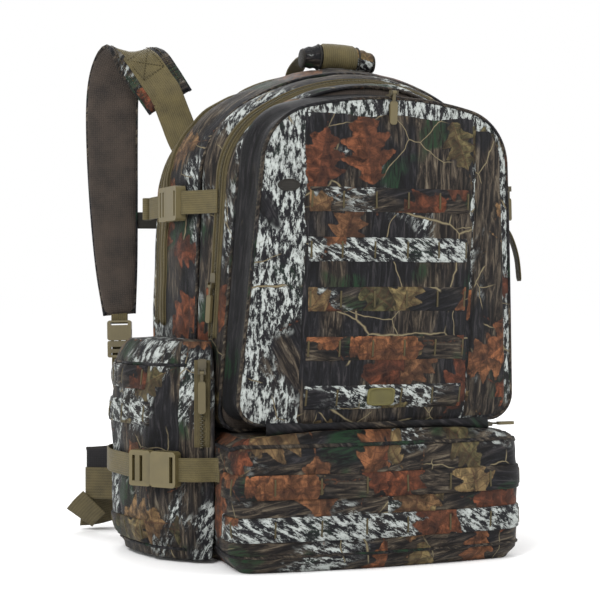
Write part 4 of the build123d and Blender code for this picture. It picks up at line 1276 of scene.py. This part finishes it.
def shoulder_strap(name):
    body = f"strap_{name}"
    stations = even(curve(np.array(STRAP_PAD[name], float), 90), 90)
    path = stations[:, :3] * MM
    width = stations[:, 3] * MM
    across = np.array(STRAP_ACROSS[name], float)
    run = unit(np.gradient(path, axis=0))
    sideways = unit(across - run * (run @ across)[:, None])
    out = np.cross(sideways, run)
    waves = 0.0011 * ripple(path, 0.05, 81)
    build = Build()
    build.ribbon(path + out * waves[:, None], across, width * (1 + 0.02 * ripple(path, 0.06, 82)), 0.003,
                 crown=0.0042, slot=0, under_slot=1)
    looks = [CAMO_STRAP, LINING]
    pad = build.finish(f"strap_pad_{name}", body, "camo_fabric", looks, [f"shoulder_pad_{name}"])
    edges = Build()
    for side in SIDES.values():
        edges.tube(path + sideways * (side * width / 2)[:, None] * 0.985, 0.0022)
    for end in (1, -2):
        line = path[end] + sideways[end] * np.linspace(-0.49, 0.49, 12)[:, None] * width[end]
        edges.tube(line, 0.0024)
    edges.finish(f"strap_binding_{name}", body, "camo_fabric", [CAMO_TRIM])

    web = Build()
    over = path[:26] + out[:26] * 0.0074
    top = np.vstack([np.array(STRAP_TOP[name], float) * MM, over[2::4]])
    web.ribbon(curve(top, 64), across, 0.038, 0.0018)
    down = unit(np.array(STRAP_DOWN[name], float))
    flat = unit(across - down * (across @ down))
    facing = np.cross(-down, flat)
    if facing[1] > 0:
        facing = -facing
    meeting = np.array(STRAP_MEETING[name], float) * MM - facing * 0.0044
    low = [meeting + down * along * MM - facing * 0.0008 for along in (2, 52)]
    low += [np.array(point, float) * MM for point in STRAP_LOW[name]]
    web.ribbon(curve(low, 40), across, 0.020, 0.0018)
    high = [meeting - down * along * MM + facing * 0.004 for along in (20, 30, 44)]
    web.ribbon(curve(high, 12), across, 0.020, 0.0018)
    web.finish(f"strap_webbing_run_{name}", body, "webbing", [TAPE_CLOTH], [f"strap_webbing_{name}"])
    middle = 12
    centre = path[middle] + out[middle] * 0.0088
    stitching.box_cross(body, centre, run[middle], sideways[middle], 0.034, 0.030, out[middle])
    for share in (-0.40, 0.40):
        line = path + sideways * (width * share)[:, None] + out * 0.0046
        stitching.row(body, line[3:-3], tree_of(pad))

    sternum = Build()
    route = [(x * MM, y * MM, STERNUM_HEIGHT * MM) for x, y in STERNUM[name]]
    sternum.ribbon(curve(route, 24), UP, 0.020, 0.0018)
    sternum.finish(f"sternum_webbing_{name}", body, "webbing", [DARK_TAPE], [f"sternum_strap_{name}"])


for strap_name in SIDES:
    shoulder_strap(strap_name)


# ---- hip belt ----
WING_ROUTE = [(-128, 127), (-160, 131), (-200, 146), (-254, 173)]
WING_LOW = 39
WING_HIGH = 104
BELT_ON_WING = [(-160, 123.4), (-202.6, 139), (-256.6, 166.2)]
BELT_HEIGHT = 59
BELT_DOWN = [(-247, 158, 37), (-256, 167, 26), (-262, 176, 16)]
BELT_BACK = [(-258, 188, 21), (-238, 189, 21.5), (-212, 188, 27), (-182, 186, 31), (-158, 184, 31)]
BELT_ACROSS = (0.85, -0.5, 0)
BELT_BACK_ACROSS = (0.1, -0.35, 0.93)
BELT_WEB = 0.038


def hip_belt(name, side):
    body = f"belt_{name}"
    route = plan_line(WING_ROUTE, (WING_LOW + WING_HIGH) / 2 * MM, side, 60)
    width = (WING_HIGH - WING_LOW) * MM * (1 - 0.12 * fade(np.linspace(0, 1, 60), 0.6, 1.0))
    build = Build().ribbon(route, UP, width, 0.0035, crown=0.0044, slot=0)
    wing = build.finish(f"belt_pad_{name}", body, "lining", [WING], [f"belt_wing_{name}"])
    edge = Build()
    for share in (-0.49, 0.49):
        edge.tube(route + UP * (width * share)[:, None], 0.0021)
    edge.finish(f"belt_binding_{name}", body, "webbing", [DARK_TAPE])
    web = Build()
    web.ribbon(plan_line(BELT_ON_WING, BELT_HEIGHT * MM, side), UP, BELT_WEB, 0.0018)
    for points, across in ((BELT_DOWN, BELT_ACROSS), (BELT_BACK, BELT_BACK_ACROSS)):
        placed = [(-side * x * MM, y * MM, z * MM) for x, y, z in points]
        turned = np.array([-side * across[0], across[1], across[2]], float)
        web.ribbon(curve(placed, 40), turned, BELT_WEB, 0.0018)
    web.finish(f"belt_webbing_run_{name}", body, "webbing", [BELT_CLOTH], [f"belt_webbing_{name}"])


for belt_name, belt_side in SIDES.items():
    hip_belt(belt_name, belt_side)


# ---- back pads and what is inside ----
BACK_PADS = [(-78, 300, 84, 220), (78, 300, 84, 220), (0, 122, 240, 92), (0, 452, 150, 44)]
BACK_DEPTH = 0.1224
BACK_PAD_THICK = 0.013


def cushion(build, x, height, width, tall, depth, thick):
    """A crowned pad that pulls in between its corners, flat where it is sewn on."""
    angles = np.linspace(0, 2 * math.pi, 97)
    edge = np.column_stack([np.sign(np.cos(angles)) * np.abs(np.cos(angles)) ** 0.42,
                            np.sign(np.sin(angles)) * np.abs(np.sin(angles)) ** 0.42])
    edge = edge * (width / 2, tall / 2) * (1 - 0.02 * np.cos(4 * angles))[:, None]
    shares = np.array([0.2, 0.9, 0.98, 1.0, 0.985, 0.95, 0.88, 0.75, 0.55, 0.3, 0.0])
    heights = np.array([0.0, 0.0, 0.12, 0.35, 0.58, 0.75, 0.87, 0.95, 0.99, 1.0, 1.0]) * thick
    flat = edge[None] * shares[:, None, None]
    origin = np.array([x, depth, 0.0]) + LEAN_UP * height
    grid = origin + flat[..., :1] * ACROSS + flat[..., 1:] * LEAN_UP - FORWARD * heights[:, None, None]
    build.add(grid, flat_uv(grid, ACROSS, LEAN_UP))


def back_pads():
    build = Build()
    for x, height, width, tall in BACK_PADS:
        cushion(build, x * MM, height * MM, width * MM, tall * MM, BACK_DEPTH, BACK_PAD_THICK)
    made = build.finish("back_cushions", "pack", "lining", [LINING], ["back_pads"])
    sleeve = Build()
    cushion(sleeve, 0.0, 0.210, 0.250, 0.360, 0.0972, 0.012)
    sleeve.finish("hydration_pouch", "pack", "sleeve_fabric", [SLEEVE], ["hydration_sleeve"])


back_pads()
stitching.finish()


# ---- carried-over hard parts ----
def dress(prefixes, material, edge):
    """Give CAD hard parts their material and a rounded moulding edge."""
    for name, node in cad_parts.items():
        if not name.startswith(prefixes):
            continue
        if not node.data.materials:
            node.data.materials.append(material)
        for slot in node.material_slots:
            slot.material = material
        soft = node.modifiers.new("moulded_edge", "BEVEL")
        soft.width = edge
        soft.segments = 2
        soft.limit_method = "ANGLE"
        soft.angle_limit = math.radians(40)


dress(("compression_buckle", "strap_buckle", "belt_buckle"), PLASTIC, 0.0007)
dress(("slider_",), SLIDER, 0.0003)
dress(("pull_",), PULL, 0.0005)
dress(("frame_sheet",), SHEET, 0.0004)


# ---- floor, light and camera ----
def studio():
    material, _, shader = new_material("studio_floor")
    shader.inputs["Base Color"].default_value = (1, 1, 1, 1)
    shader.inputs["Roughness"].default_value = 0.9
    shader.inputs["Specular IOR Level"].default_value = 0.0
    bpy.ops.mesh.primitive_plane_add(size=80, location=(0, 0, 0))
    floor = bpy.context.object
    floor.name = "studio_floor"
    floor.data.materials.append(material)
    world = bpy.data.worlds.new("studio")
    bpy.context.scene.world = world
    world.use_nodes = True
    world.node_tree.nodes["Background"].inputs["Color"].default_value = (1, 1, 1, 1)
    world.node_tree.nodes["Background"].inputs["Strength"].default_value = 1.0
    lamps = (((-1.6, -1.6, 2.0), 0.9, 42), ((1.8, -1.2, 1.5), 1.2, 16), ((0.2, 1.6, 2.2), 1.4, 22))
    for place, size, power in lamps:
        lamp = bpy.data.lights.new("softbox", "AREA")
        lamp.size = size
        lamp.energy = power
        obj = bpy.data.objects.new("softbox", lamp)
        obj.location = place
        obj.rotation_euler = (Vector((0, 0, 0.28)) - Vector(place)).to_track_quat("-Z", "Y").to_euler()
        bpy.context.scene.collection.objects.link(obj)
    bpy.context.scene.view_settings.view_transform = "Standard"


def camera():
    lens = bpy.data.cameras.new("camera")
    lens.lens = 86.6
    lens.sensor_width = 36
    obj = bpy.data.objects.new("camera", lens)
    obj.location = (-0.5643, -1.5505, 0.292)
    aim = Vector((-0.0370, 0.0135, 0.2783)) - obj.location
    obj.rotation_euler = aim.to_track_quat("-Z", "Y").to_euler()
    bpy.context.scene.collection.objects.link(obj)
    bpy.context.scene.camera = obj


studio()
camera()
